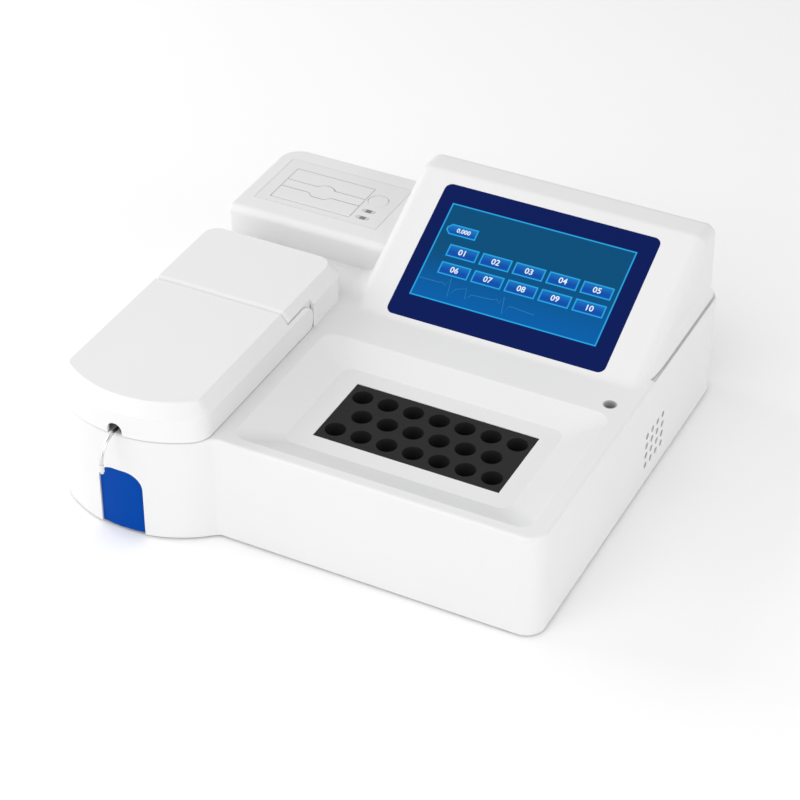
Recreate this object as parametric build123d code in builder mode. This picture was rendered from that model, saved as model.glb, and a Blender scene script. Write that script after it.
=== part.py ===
from build123d import *
import math
import os

os.makedirs("parts", exist_ok=True)

# Bench photometer with a flow cell, an incubator block, a touch screen and a strip printer.
# Millimetres. +X to the user's right, +Y to the rear, +Z up. The origin is the bottom centre.

# ---------------------------------------------------------------- driving dimensions
module_width = 124.5          # measuring module at the left, over its side walls
main_width = 259.5            # rest of the body, from the module to the right wall
body_depth = 348.0            # flat front face to rear wall
deck_height = 89.5            # table to deck
foot_drop = 2.0               # gap between the case and the table
wall = 2.8                    # moulded wall
running = 0.06                # radial clearance of a shaft in its bore
fit_gap = 0.3                 # clearance between pieces that drop into each other

lid_bulge = 27.5              # lid nose ahead of the front face
nose_radius = 98.0            # plan radius of the nose
nose_corner = 18.0            # plan radius between the nose and the side walls
nose_inset = 0.8              # case nose behind the lid nose
case_inner_corner = 10.0      # plan radius where the module meets the front face
case_front_corner = 15.0
case_rear_corner = 18.0
edge_round = 2.5              # top edge of the case
cowl_height = 120.0           # table to the top of the lid and its rear cover
chamfer_in = 8.25             # chamfer round the top of the lid, measured inwards
chamfer_down = 10.3           # and measured downwards
seam_gap = 0.6                # gap between the lid and the deck
lid_wall = 2.5                # wall of the lid and of its rear cover
lid_split = 122.0             # front face to the joint between the lid and its rear cover
split_gap = 1.2               # width of that joint
cowl_depth = 213.0            # front face to the back of the rear cover
cowl_rear_corner = 20.0
lip_radius = 5.0              # rounded front lip of the rear cover
hinge_y = 143.5               # front face to the lid's hinge axis
hinge_z = 99.0                # table to the lid's hinge axis
ear_radius = 13.2
ear_wall = 2.5
ear_skin = 0.8                # left of the ear's wall outside a pin's blind bore
ear_gap = 0.6
pin_radius = 2.0
bracket_wall = 3.0            # plate in the rear cover that holds a hinge pin
cover_wall = 3.0              # front wall of the rear cover
ear_top = 111.8
notch_radius = 6.0

tray_right = 12.8             # right wall to the tray's rim
tray_front = 9.2              # front face to the tray's rim
tray_width = 234.9
tray_length = 146.8
tray_drop = 10.8
tray_side = 27.7              # plan width of the tray's side slopes
tray_near = 25.0              # plan width of its front slope
tray_far = 20.8               # plan width of its rear slope
tray_rim_corner = 12.0
tray_floor_corner = 9.0

block_width = 147.6
block_length = 70.2
block_height = 34.0
block_shift = 1.8             # block centre right of the tray centre
well_radius = 7.9
well_depth = 27.0
well_pitch_x = 20.9
well_pitch_y = 21.7
block_sink = 0.3              # block's top below the tray's floor
heater_thick = 4.0
insulation_wall = 4.0
liner_depth = 30.0
display_thick = 5.0

hood_right = 6.4              # ledge between the hood and the right wall
hood_width = 241.0
slope_foot = 194.9            # front face to where the screen slope meets the deck
slope_angle = 27.45           # degrees from the deck
slope_run = 121.0
hood_round = 9.0
hood_root = 12.0              # how far the hood's form is carried below the deck
hood_back = 0.8               # hood's back wall ahead of the rear wall, at its foot
hood_lean = 6.0               # and at its top
foot_round = 15.0             # concave round between the slope and the deck
ledge_drop = 1.1              # shallow channel along the foot of the hood

glass_width = 180.8
glass_length = 121.8
glass_thick = 1.5
glass_corner = 6.0
glass_left = 28.0             # hood's left wall to the glass
glass_foot = 4.0              # deck to the glass, along the slope
screen_width = 154.1
screen_length = 85.0
screen_x = 12.1               # glass's left edge to the lit area
screen_y = 20.3               # glass's lower edge to the lit area

tower_front = 245.0           # front face to the printer tower
tower_height = 114.5
tower_round = 6.0
bezel_width = 109.3
bezel_length = 65.3
bezel_left = 12.2             # left wall to the printer's bezel
bezel_front = 21.0            # tower's front to the bezel
bezel_thick = 3.0
door_width = 71.2
door_left = 10.8              # bezel's left edge to the door opening
door_front = 6.8              # bezel's front edge to the door opening
door_opening = 29.6           # opening's length, front edge to paper slot
leaf_length = 17.0            # framed fixed leaf behind the paper slot
door_round = 1.5              # radius of the door's hinge barrel
door_pin = 0.8
platen_pin = 1.5
platen_back = 0.4             # platen ahead of the door's free edge
head_gap = 1.3                # platen to print head, so that the door can swing
lens_rows = (17.3, 28.0)      # feed button to each indicator lens
lens_long = 12.0
lens_wide = 4.6
door_lead = 2.5               # opening's front edge to the door's hinge axis
paper_slot = 0.9
thumb_radius = 9.0            # rounded tab in the middle of the door's free edge
thumb_out = 4.4
platen_radius = 4.5
roll_radius = 14.0
roll_width = 57.0
button_thick = 2.4
button_travel = 0.8
button_radius = 8.4

trigger_width = 36.4
trigger_height = 56.5
trigger_arch = 14.0
trigger_travel = 3.0
trigger_recess = 1.6
trigger_thick = 2.4
guide_radius = 2.5
guide_length = 26.0
guide_reach = 20.0            # trigger's face to its bracket
guide_z = 30.0
coil_radius = 4.0
coil_wire = 0.45
coil_turns = 6

probe_reach = 21.0            # probe ahead of the lid nose
probe_radius = 1.3
probe_bore = 0.6
sleeve_radius = 1.75
probe_height = 92.6
probe_end = 68.0
probe_bend = 17.0

vent_radius = 2.75            # round vents in the right wall, four by four
vent_pitch_y = 10.4
vent_pitch_z = 9.1
vent_y = 198.7                # front face to the first column
vent_z = 19.1                 # table to the lowest row

tube_well_x = 20.0            # right wall to the round well in the deck
tube_well_y = 167.8
tube_well_radius = 5.4

comp_width = 104.0            # measuring compartment under the lid
comp_front = 2.0
comp_length = 110.0
comp_floor = 50.0
comp_wall = 2.5
beam_z = 68.0                 # table to the light beam
cell_y = 51.0                 # front face to the flow cell
cell_size = 12.4
holder_width = 36.0
holder_length = 30.0
holder_height = 34.0
nipple_gap = 3.0
nipple_radius = 1.2
nipple_bore = 0.6
nipple_height = 4.0

wheel_radius = 32.0
wheel_pitch = 24.0            # centre of the wheel to the centre of a filter
wheel_thick = 5.0
wheel_y = 122.0
filter_count = 8
filter_radius = 6.0
shaft_radius = 2.5
motor_size = 26.0
motor_length = 30.0
bracket_thick = 1.8
bracket_y = 129.0
lamp_y = 150.0                # front face to the lamp housing
lamp_length = 40.0
lamp_width = 40.0
lamp_height = 25.0
lens_radius = 6.0

pump_x = -30.0                # module centre to the pump
pump_y = 91.5
pump_radius = 20.0
pump_height = 18.0
track_radius = 16.5
roller_count = 3
roller_radius = 3.0
roller_pitch = 8.6
roller_pin = 1.0
tube_radius = 1.9
tube_path = 13.9

base_thick = 1.6
base_lift = 0.4               # case's lower edge to the base plate
base_gap = 0.4
foot_radius = 9.0
boss_radius = 4.5
boss_inset = 9.5              # outer wall to the middle of a boss
screw_radius = 1.2
screw_head = 2.75
screw_head_high = 1.6

panel_width = 216.0           # opening in the rear wall
panel_height = 62.0
panel_right = 24.0            # right wall to that opening
panel_bottom = 12.0
panel_thick = 1.5
panel_lap = 6.0
fan_size = 50.0
fan_deep = 15.0
fan_hub = 9.0
blade_count = 7
blade_twist = 40.0
board_z = 10.0
inlet_width = 27.6
inlet_height = 20.4
inlet_depth = 15.0
switch_width = 14.4
switch_height = 20.0
rocker_width = 11.0
rocker_height = 15.6
rocker_pin = 1.0
rocker_throw = 14.0           # degrees between the two positions
usb_width = 12.4
usb_height = 11.4
grommet_radius = 4.6

# ---------------------------------------------------------------- reference lines
overall_width = module_width + main_width
overall_depth = probe_reach + lid_bulge + body_depth
left_x = -overall_width / 2
right_x = overall_width / 2
split_x = left_x + module_width
module_x = left_x + module_width / 2
front_y = -overall_depth / 2 + probe_reach + lid_bulge
rear_y = front_y + body_depth
nose_y = front_y - lid_bulge

hood_x1 = right_x - hood_right
hood_x0 = hood_x1 - hood_width
foot_y = front_y + slope_foot
slope = math.radians(slope_angle)
ridge_y = foot_y + slope_run
ridge_z = deck_height + slope_run * math.tan(slope)

tray_x1 = right_x - tray_right
tray_x0 = tray_x1 - tray_width
tray_y0 = front_y + tray_front
tray_y1 = tray_y0 + tray_length
tray_z = deck_height - tray_drop
floor_x = (tray_x0 + tray_x1) / 2
floor_y = (tray_y0 + tray_near + tray_y1 - tray_far) / 2
block_x = floor_x + block_shift

tower_y = front_y + tower_front
bezel_x = left_x + bezel_left + bezel_width / 2
bezel_y = tower_y + bezel_front + bezel_length / 2
door_x = left_x + bezel_left + door_left + door_width / 2
door_y0 = tower_y + bezel_front + door_front
door_y1 = door_y0 + door_opening
door_axis_y = door_y0 + door_lead
door_axis_z = tower_height - bezel_thick / 2
thumb_y = door_y1 - paper_slot + thumb_out - thumb_radius
platen_y = door_y1 - paper_slot - platen_radius - platen_back
platen_z = tower_height - bezel_thick - platen_radius - 0.4
button_x = left_x + bezel_left + 92.3
button_y = tower_y + bezel_front + 38.5
base_z = foot_drop + base_lift
base_top = base_z + base_thick
panel_x = right_x - panel_right - panel_width / 2
panel_z = panel_bottom + panel_height / 2
panel_y = rear_y - wall
fan_x = panel_x + 2.0
inlet_x = right_x - 50.0
switch_x = right_x - 86.0
port_z = panel_bottom + 24.0
wheel_z = beam_z - wheel_pitch
pump_cx = module_x + pump_x
pump_cy = front_y + pump_y
axis_y = front_y + hinge_y


# ---------------------------------------------------------------- shared outlines
def side_profile(sketch_x):
    """Plane whose local x runs to the rear (+Y) and local y runs up (+Z)."""
    return Plane(origin=(sketch_x, 0, 0), x_dir=(0, 1, 0), z_dir=(1, 0, 0))


def cowl_outline(inset, height):
    """Plan of the lid and its rear cover together at a height, moved inwards by inset."""
    half = module_width / 2 - inset
    radius = nose_radius - inset
    centre_y = nose_y + nose_radius
    side_y = centre_y - math.sqrt(radius**2 - half**2)
    back_y = front_y + cowl_depth - inset
    with BuildSketch(Plane.XY.offset(height)) as outline:
        with BuildLine():
            Line((module_x - half, side_y), (module_x - half, back_y))
            Line((module_x - half, back_y), (module_x + half, back_y))
            Line((module_x + half, back_y), (module_x + half, side_y))
            ThreePointArc(
                (module_x + half, side_y), (module_x, centre_y - radius), (module_x - half, side_y)
            )
        make_face()
        corners = outline.vertices().sort_by(Axis.Y)
        fillet(corners[0:2], nose_corner - inset)
        fillet(outline.vertices().sort_by(Axis.Y)[-2:], cowl_rear_corner - inset)
    return outline.sketch


def case_outline(inset, height):
    """Plan of the lower case at a height, moved inwards by inset."""
    half = module_width / 2
    radius = nose_radius - nose_inset
    centre_y = nose_y + nose_radius
    side_y = centre_y - math.sqrt(radius**2 - half**2)
    join_x = module_x + math.sqrt(radius**2 - (centre_y - front_y) ** 2)
    with BuildSketch(Plane.XY.offset(height)) as outline:
        with BuildLine():
            Line((left_x, side_y), (left_x, rear_y))
            Line((left_x, rear_y), (right_x, rear_y))
            Line((right_x, rear_y), (right_x, front_y))
            Line((right_x, front_y), (join_x, front_y))
            ThreePointArc((join_x, front_y), (module_x, centre_y - radius), (left_x, side_y))
        make_face()
        fillet(outline.vertices().sort_by_distance((left_x, side_y))[0], nose_corner)
        fillet(outline.vertices().sort_by_distance((join_x, front_y))[0], case_inner_corner)
        fillet(outline.vertices().sort_by_distance((right_x, front_y))[0], case_front_corner)
        fillet(outline.vertices().sort_by_distance((right_x, rear_y))[0], case_rear_corner)
        fillet(outline.vertices().sort_by_distance((left_x, rear_y))[0], case_rear_corner)
        if inset:
            offset(amount=-inset, kind=Kind.INTERSECTION, mode=Mode.REPLACE)
    return outline.sketch


def hood_profile(inset):
    """Side view of the hood, carried below the deck so that its edges can be rounded there."""
    rise = math.tan(slope)
    lower_y = foot_y - hood_root / rise
    with BuildSketch(side_profile(hood_x0 + inset)) as profile:
        with BuildLine():
            Polyline(
                (lower_y, deck_height - hood_root),
                (ridge_y, ridge_z),
                (rear_y - hood_lean, ridge_z),
                (rear_y - hood_back, deck_height - hood_root),
                close=True,
            )
        make_face()
        if inset:
            offset(amount=-inset, kind=Kind.INTERSECTION, mode=Mode.REPLACE)
    return profile.sketch


# ---------------------------------------------------------------- small helpers
def span_box(x, y, z, mode=Mode.ADD):
    """Box between three (low, high) pairs."""
    with Locations(((x[0] + x[1]) / 2, (y[0] + y[1]) / 2, (z[0] + z[1]) / 2)):
        Box(x[1] - x[0], y[1] - y[0], z[1] - z[0], mode=mode)


def around(centre, size):
    """(low, high) pair about a centre."""
    return centre - size / 2, centre + size / 2


def rod(point, radius, length, axis=Axis.Z, mode=Mode.ADD):
    """Cylinder that starts at a point and runs along a direction."""
    with BuildSketch(Plane(origin=point, z_dir=axis.direction)) as section:
        Circle(radius)
    extrude(section.sketch, amount=length, mode=mode)


def disc_ring(point, outer, inner, length, axis=Axis.Z):
    """Round ring with a bore."""
    rod(point, outer, length, axis)
    rod(point, inner, length, axis, mode=Mode.SUBTRACT)


# ---------------------------------------------------------------- case
def arch_profile(width, height):
    """Arched outline of the trigger in the XZ plane, standing on the case's lower edge."""
    with BuildSketch(Plane(origin=(module_x, nose_y, 0), x_dir=(1, 0, 0), z_dir=(0, -1, 0))) as arch:
        with Locations((0, (foot_drop + height) / 2)):
            Rectangle(width, height - foot_drop)
        fillet(arch.vertices().group_by(Axis.Y)[-1], trigger_arch)
    return arch.sketch


def tray_pan(grow):
    """Sloped tray between its rim and its floor, grown outwards and downwards."""
    with BuildPart() as pan:
        with BuildSketch(Plane.XY.offset(tray_z - grow)):
            with Locations((floor_x, floor_y)):
                RectangleRounded(
                    tray_width - 2 * tray_side + 2 * grow,
                    tray_length - tray_near - tray_far + 2 * grow,
                    tray_floor_corner + grow,
                )
        with BuildSketch(Plane.XY.offset(deck_height - min(grow, edge_round))):
            with Locations(((tray_x0 + tray_x1) / 2, (tray_y0 + tray_y1) / 2)):
                RectangleRounded(
                    tray_width + 2 * grow, tray_length + 2 * grow, tray_rim_corner + grow
                )
        loft()
    return pan.part


def screen_plane(depth):
    """Plane of the screen's glass, at a depth below the hood's slope."""
    middle = glass_foot + glass_length / 2
    normal = (0, -math.sin(slope), math.cos(slope))
    point = (
        hood_x0 + glass_left + glass_width / 2,
        foot_y + middle * math.cos(slope) - depth * normal[1],
        deck_height + middle * math.sin(slope) - depth * normal[2],
    )
    return Plane(origin=point, x_dir=(1, 0, 0), z_dir=normal)


def hood_solid(inset):
    """Rounded form of the hood, moved inwards by inset."""
    with BuildPart() as form:
        extrude(hood_profile(inset), amount=hood_width - 2 * inset)
        edges_up = form.edges().filter_by(lambda e: e.center().Z > deck_height - hood_root + 4)
        fillet(edges_up.filter_by(Axis.X, reverse=True), hood_round - inset)
        fillet(form.edges().filter_by(Axis.X).group_by(Axis.Z)[-1], hood_round - inset - 0.5)
    return form.part


with BuildPart() as tower_form:
    span_box((left_x, hood_x0 + hood_round + 10), (tower_y, rear_y), (deck_height - 20, tower_height))
    along = tower_form.edges().filter_by(Axis.X).group_by(Axis.Z)[-1].sort_by(Axis.Y)
    fillet(along[0], tower_round)
    fillet(tower_form.edges().filter_by(Axis.Z).sort_by_distance((left_x, rear_y, deck_height))[0],
           case_rear_corner)
    soft = tower_form.edges().filter_by(lambda e: e.center().Z > tower_height - 0.7 * tower_round)
    fillet(soft.filter_by(lambda e: e.center().X < hood_x0 and e.center().Y > tower_y + tower_round
                          or e.center().X < left_x + 1), edge_round)

with BuildPart() as tower_room:
    low = deck_height - wall - 1
    extrude(case_outline(wall, low), amount=tower_height - bezel_thick - 1.5 - low)
    span_box((left_x, hood_x0 + wall + 1), (tower_y + wall, rear_y), (low, tower_height),
             mode=Mode.INTERSECT)

boss_points = [
    (right_x - boss_inset, front_y + boss_inset),
    (right_x - boss_inset, rear_y - boss_inset - 1.0),
    (left_x + boss_inset, rear_y - boss_inset - 1.0),
    (left_x + boss_inset, front_y + boss_inset + 5.0),
    (split_x + boss_inset, front_y + 3 * boss_inset),
]
panel_screws = [
    (panel_x + dx * (panel_width / 2 - 20.0), panel_z + dz * (panel_height / 2 + panel_lap / 2))
    for dx in (-1, 1)
    for dz in (-1, 1)
]

with BuildPart() as housing:
    extrude(case_outline(0, foot_drop), amount=deck_height - foot_drop)
    fillet(housing.faces().sort_by(Axis.Z)[-1].outer_wire().edges(), edge_round)
    add(tower_form.part)
    add(hood_solid(0))
    foot_edges = housing.edges().filter_by(
        lambda e: abs(e.center().Z - deck_height) < 0.05
        and foot_y - 3 < e.center().Y < foot_y + 12
        and hood_x0 - 1 < e.center().X < hood_x1 + 1
    )
    fillet(foot_edges, foot_round)
    # hollow of the case, the hood and the printer tower
    extrude(case_outline(wall, foot_drop), amount=deck_height - wall - foot_drop, mode=Mode.SUBTRACT)
    add(hood_solid(wall), mode=Mode.SUBTRACT)
    add(tower_room.part, mode=Mode.SUBTRACT)
    # screw bosses under the deck
    for bx, by in boss_points:
        rod((bx, by, base_top), boss_radius, deck_height - wall - base_top + 0.5)
        rod((bx, by, base_top), screw_radius + 0.05, 14.0, mode=Mode.SUBTRACT)
    # tray and the window for the incubator block
    add(tray_pan(wall))
    add(tray_pan(0), mode=Mode.SUBTRACT)
    span_box(
        around(block_x, block_width + 2 * fit_gap),
        around(floor_y, block_length + 2 * fit_gap),
        (tray_z - 2 * wall, tray_z + 1),
        mode=Mode.SUBTRACT,
    )
    # measuring compartment
    comp_x = around(module_x, comp_width)
    comp_y = (front_y + comp_front, front_y + comp_front + comp_length)
    span_box(
        (comp_x[0] - comp_wall, comp_x[1] + comp_wall),
        (comp_y[0] - comp_wall, comp_y[1] + comp_wall),
        (comp_floor - comp_wall, deck_height - 1),
    )
    span_box(comp_x, comp_y, (comp_floor, deck_height + 1), mode=Mode.SUBTRACT)
    rod((module_x, comp_y[1] - 1, beam_z), 4.5, comp_wall + 2, Axis.Y, mode=Mode.SUBTRACT)
    rod((pump_cx, pump_cy, comp_floor - comp_wall - 1), shaft_radius + 1, comp_wall + 2,
        mode=Mode.SUBTRACT)
    rod((pump_cx - tube_path, pump_cy - pump_radius - 3, comp_floor - comp_wall - 1),
        tube_radius + 0.4, comp_wall + 2, mode=Mode.SUBTRACT)
    # slots in the deck for the lid's ears
    for slot_x in (left_x - 0.5, split_x - ear_wall - ear_gap):
        rod((slot_x, axis_y, hinge_z), ear_radius + ear_gap, ear_wall + ear_gap + 0.5, Axis.X,
            mode=Mode.SUBTRACT)
    # shallow channel along the hood's foot
    span_box(
        (hood_x1, right_x - 1.0),
        (foot_y + 14, rear_y - hood_back),
        (deck_height - ledge_drop, deck_height + 1),
        mode=Mode.SUBTRACT,
    )
    # arched opening for the trigger
    extrude(arch_profile(trigger_width + 2 * fit_gap, trigger_height + fit_gap), amount=-12,
            mode=Mode.SUBTRACT)
    # round vents
    vent_plane = Plane(
        origin=(right_x, front_y + vent_y + 1.5 * vent_pitch_y, vent_z + 1.5 * vent_pitch_z),
        x_dir=(0, 1, 0), z_dir=(1, 0, 0),
    )
    with BuildSketch(vent_plane):
        with GridLocations(vent_pitch_y, vent_pitch_z, 4, 4):
            Circle(vent_radius)
    extrude(amount=-2 * wall, mode=Mode.SUBTRACT)
    # round well in the deck
    rod((right_x - tube_well_x, front_y + tube_well_y, deck_height - 2 * wall),
        tube_well_radius + 0.02, 3 * wall, mode=Mode.SUBTRACT)
    # opening and screw holes for the rear panel
    span_box(around(panel_x, panel_width), (rear_y - wall - 1, rear_y + 1),
             around(panel_z, panel_height), mode=Mode.SUBTRACT)
    for px, pz in panel_screws:
        rod((px, rear_y - wall - 1, pz), screw_radius + 0.2, wall + 2, Axis.Y, mode=Mode.SUBTRACT)
        rod((px, rear_y - screw_head_high, pz), screw_head + 0.2, wall, Axis.Y, mode=Mode.SUBTRACT)
    # seat and opening for the printer's bezel
    span_box(around(bezel_x, bezel_width + 2 * fit_gap), around(bezel_y, bezel_length + 2 * fit_gap),
             (tower_height - bezel_thick, tower_height + 1), mode=Mode.SUBTRACT)
    span_box(around(bezel_x, bezel_width - 6), around(bezel_y, bezel_length - 6),
             (tower_height - 3 * bezel_thick, tower_height), mode=Mode.SUBTRACT)
    # seat and opening for the glass
    with BuildSketch(screen_plane(0)):
        RectangleRounded(glass_width + 2 * fit_gap, glass_length + 2 * fit_gap, glass_corner)
    extrude(amount=-glass_thick, mode=Mode.SUBTRACT)
    with BuildSketch(screen_plane(0)):
        Rectangle(glass_width - 14, glass_length - 14)
    extrude(amount=-2 * wall, mode=Mode.SUBTRACT)
housing.part.label = "main_housing"
export_step(housing.part, "parts/main_housing.step")

with BuildPart() as base:
    extrude(case_outline(wall + base_gap, base_z), amount=base_thick)
    span_box(around(module_x, trigger_width + 8), (nose_y - 1, nose_y + 14), (base_z - 1, base_top + 1),
             mode=Mode.SUBTRACT)
    for bx, by in boss_points:
        rod((bx, by, base_z - 1), screw_radius + 0.2, base_thick + 2, mode=Mode.SUBTRACT)
    with BuildSketch(Plane.XY.offset(base_z)):
        with Locations((panel_x, floor_y - 10)):
            with GridLocations(14.0, 26.0, 8, 3):
                SlotOverall(20.0, 3.0, rotation=90)
    extrude(amount=base_thick, mode=Mode.SUBTRACT)
base.part.label = "base_plate"
export_step(base.part, "parts/base_plate.step")

foot_points = {
    "front_right": (right_x - 26.0, front_y + 26.0),
    "rear_right": (right_x - 26.0, rear_y - 26.0),
    "rear_left": (left_x + 26.0, rear_y - 26.0),
    "front_left": (left_x + 26.0, front_y + 8.0),
}
for place, (fx, fy) in foot_points.items():
    with BuildPart() as foot:
        rod((fx, fy, 0), foot_radius, base_z)
        fillet(foot.edges().group_by(Axis.Z)[0], 0.6)
    foot.part.label = f"foot_{place}"
    export_step(foot.part, f"parts/foot_{place}.step")

# one screw under each boss and four in the rear wall
with BuildPart() as screws:
    for bx, by in boss_points:
        rod((bx, by, base_z), screw_head, -screw_head_high)
        rod((bx, by, base_z), screw_radius, 12.0)
    for px, pz in panel_screws:
        rod((px, rear_y, pz), screw_head, -screw_head_high, Axis.Y)
        rod((px, rear_y - screw_head_high, pz), screw_radius, -8.0, Axis.Y)
screws.part.label = "case_screws"
export_step(screws.part, "parts/case_screws.step")

# ---------------------------------------------------------------- lid and its rear cover
def cowl(inset, low):
    """Chamfered cowl over the whole module from a height up, moved inwards by inset."""
    shrink = inset * 0.45
    with BuildPart() as form:
        extrude(cowl_outline(inset, low), amount=cowl_height - inset - low)
        rim = form.faces().sort_by(Axis.Z)[-1].outer_wire().edges()
        chamfer(rim, chamfer_down - shrink, chamfer_in - shrink)
    return form.part


ear_xs = {"left": left_x, "right": split_x - ear_wall}
cover_front = front_y + lid_split
lid_back = cover_front - split_gap
ear_slot = 2 * (ear_radius + ear_gap)

seam_z = deck_height + seam_gap

with BuildPart() as ears:
    for ear_x in ear_xs.values():
        with BuildSketch(side_profile(ear_x)):
            with Locations((axis_y, hinge_z)):
                Circle(ear_radius)
            with Locations(((lid_back - 8 + axis_y) / 2, (seam_z + ear_top) / 2)):
                Rectangle(axis_y - lid_back + 8, ear_top - seam_z)
        extrude(amount=ear_wall)
    add(cowl(0, deck_height - ear_radius), mode=Mode.INTERSECT)
    # blind bores for the pins, open towards the module's middle
    for bore_x in (left_x + ear_skin, split_x - ear_wall - 1):
        rod((bore_x, axis_y, hinge_z), pin_radius + running, ear_wall - ear_skin + 1, Axis.X,
            mode=Mode.SUBTRACT)

with BuildPart() as lid:
    add(cowl(0, seam_z))
    add(cowl(lid_wall, seam_z - 1), mode=Mode.SUBTRACT)
    span_box((left_x - 5, split_x + 5), (lid_back, rear_y), (seam_z - 5, cowl_height + 5),
             mode=Mode.SUBTRACT)
    # arched notch for the probe
    rod((module_x, nose_y - 5, probe_height + 1), notch_radius, 20, Axis.Y, mode=Mode.SUBTRACT)
    span_box(around(module_x, 2 * notch_radius), (nose_y - 5, nose_y + 15),
             (seam_z - 1, probe_height + 1), mode=Mode.SUBTRACT)
    add(ears.part)
lid.part.label = "measuring_lid"
export_step(lid.part, "parts/measuring_lid.step")

with BuildPart() as cover:
    add(cowl(0, deck_height))
    span_box((left_x - 5, split_x + 5), (nose_y - 5, cover_front), (deck_height - 5, cowl_height + 5),
             mode=Mode.SUBTRACT)
    lip = cover.faces().sort_by(Axis.Y)[0].edges().filter_by(lambda e: e.center().Z > ear_top - 8)
    fillet(lip.filter_by(Axis.Z, reverse=True), lip_radius)
    # hollow behind a front wall
    with BuildPart(mode=Mode.PRIVATE) as room:
        add(cowl(lid_wall, deck_height - 1))
        span_box((left_x - 5, split_x + 5), (nose_y - 5, cover_front + cover_wall),
                 (deck_height - 5, cowl_height + 5), mode=Mode.SUBTRACT)
    add(room.part, mode=Mode.SUBTRACT)
    for side, ear_x in ear_xs.items():
        inner = ear_x + ear_wall + ear_gap if side == "left" else ear_x - ear_gap
        plate = (inner, inner + bracket_wall) if side == "left" else (inner - bracket_wall, inner)
        outer = (left_x - 1, inner) if side == "left" else (inner, split_x + 1)
        # notch for the ear, backed by a plate that holds the hinge pin
        span_box(plate, (cover_front + 1, axis_y + ear_slot / 2 + bracket_wall),
                 (deck_height, cowl_height - chamfer_down))
        span_box(outer, (cover_front - 1, axis_y + ear_slot / 2), (deck_height - 1, cowl_height + 1),
                 mode=Mode.SUBTRACT)
        rod((inner - bracket_wall - 1, axis_y, hinge_z), pin_radius + 0.01, 2 * bracket_wall + 2,
            Axis.X, mode=Mode.SUBTRACT)
cover.part.label = "lid_rear_cover"
export_step(cover.part, "parts/lid_rear_cover.step")

with BuildPart() as pins:
    pin_length = ear_wall - ear_skin + ear_gap + bracket_wall
    pin_end = ear_skin + 0.1
    rod((left_x + pin_end, axis_y, hinge_z), pin_radius, pin_length, Axis.X)
    rod((split_x - pin_end - pin_length, axis_y, hinge_z), pin_radius, pin_length, Axis.X)
pins.part.label = "hinge_pins"
export_step(pins.part, "parts/hinge_pins.step")

# ---------------------------------------------------------------- trigger and probe
face_y = nose_y + nose_inset + trigger_recess
curve_y = nose_y + nose_radius

with BuildPart() as trigger:
    extrude(arch_profile(trigger_width, trigger_height), amount=-40)
    rod((module_x, curve_y, 0), nose_radius - nose_inset - trigger_recess, 80, mode=Mode.INTERSECT)
    rod((module_x, curve_y, 0), nose_radius - nose_inset - trigger_recess - trigger_thick, 80,
        mode=Mode.SUBTRACT)
    span_box((left_x, split_x), (nose_y, nose_y + 20), (foot_drop - 1, foot_drop + 0.6),
             mode=Mode.SUBTRACT)
    rod((module_x, face_y + 1, guide_z), guide_radius, guide_length, Axis.Y)
trigger.part.label = "aspirate_trigger"
export_step(trigger.part, "parts/aspirate_trigger.step")

guide_y = face_y + guide_reach
with BuildPart() as guide:
    span_box(around(module_x, 26), (guide_y, guide_y + 2), (base_top, guide_z + 10))
    span_box(around(module_x, 26), (guide_y, guide_y + 26), (base_top, base_top + 1.5))
    span_box(around(module_x, 26), (guide_y + 24, guide_y + 26), (base_top, guide_z + 10))
    rod((module_x, guide_y - 1, guide_z), guide_radius + running, 4, Axis.Y, mode=Mode.SUBTRACT)
guide.part.label = "trigger_bracket"
export_step(guide.part, "parts/trigger_bracket.step")

coil_start = face_y + trigger_thick + 0.5
coil_length = guide_y - coil_start - 1.0
with BuildPart() as spring:
    with BuildLine() as coil:
        Helix(coil_length / coil_turns, coil_length, coil_radius,
              center=(module_x, coil_start + 0.25, guide_z), direction=(0, 1, 0))
    with BuildSketch(Plane(origin=coil.line @ 0, z_dir=coil.line % 0)):
        Circle(coil_wire)
    sweep(path=coil.line)
spring.part.label = "trigger_spring"
export_step(spring.part, "parts/trigger_spring.step")

with BuildPart() as trigger_switch:
    switch_y = face_y + 1 + guide_length + trigger_travel + 0.5
    span_box(around(module_x, 14), (switch_y, guide_y + 24), (guide_z - 6, guide_z + 6))
trigger_switch.part.label = "trigger_switch"
export_step(trigger_switch.part, "parts/trigger_switch.step")

# probe: straight run over the case's rim, bend, short drop
tip_y = nose_y - probe_reach + sleeve_radius
probe_back = front_y + 12.0


with BuildPart() as probe:
    with BuildLine() as route:
        FilletPolyline(
            (module_x, probe_back, probe_height),
            (module_x, tip_y, probe_height),
            (module_x, tip_y, probe_end),
            radius=probe_bend,
        )
    with BuildSketch(Plane(origin=route.line @ 0, z_dir=route.line % 0)):
        Circle(probe_radius)
        Circle(probe_bore, mode=Mode.SUBTRACT)
    sweep(path=route.line)
probe.part.label = "aspirating_probe"
export_step(probe.part, "parts/aspirating_probe.step")

with BuildPart() as sleeve:
    disc_ring((module_x, tip_y, probe_end + 1.5), sleeve_radius, probe_radius + 0.02,
              probe_height - probe_bend - probe_end - 1.5)
sleeve.part.label = "probe_sleeve"
export_step(sleeve.part, "parts/probe_sleeve.step")

with BuildPart() as clip:
    clip_y = front_y + comp_front + 0.2
    span_box(around(module_x, 10), (clip_y, clip_y + 6), (probe_height - 20, probe_height + 3))
    rod((module_x, clip_y - 1, probe_height), probe_radius + 0.02, 8, Axis.Y, mode=Mode.SUBTRACT)
clip.part.label = "probe_clip"
export_step(clip.part, "parts/probe_clip.step")

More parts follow.
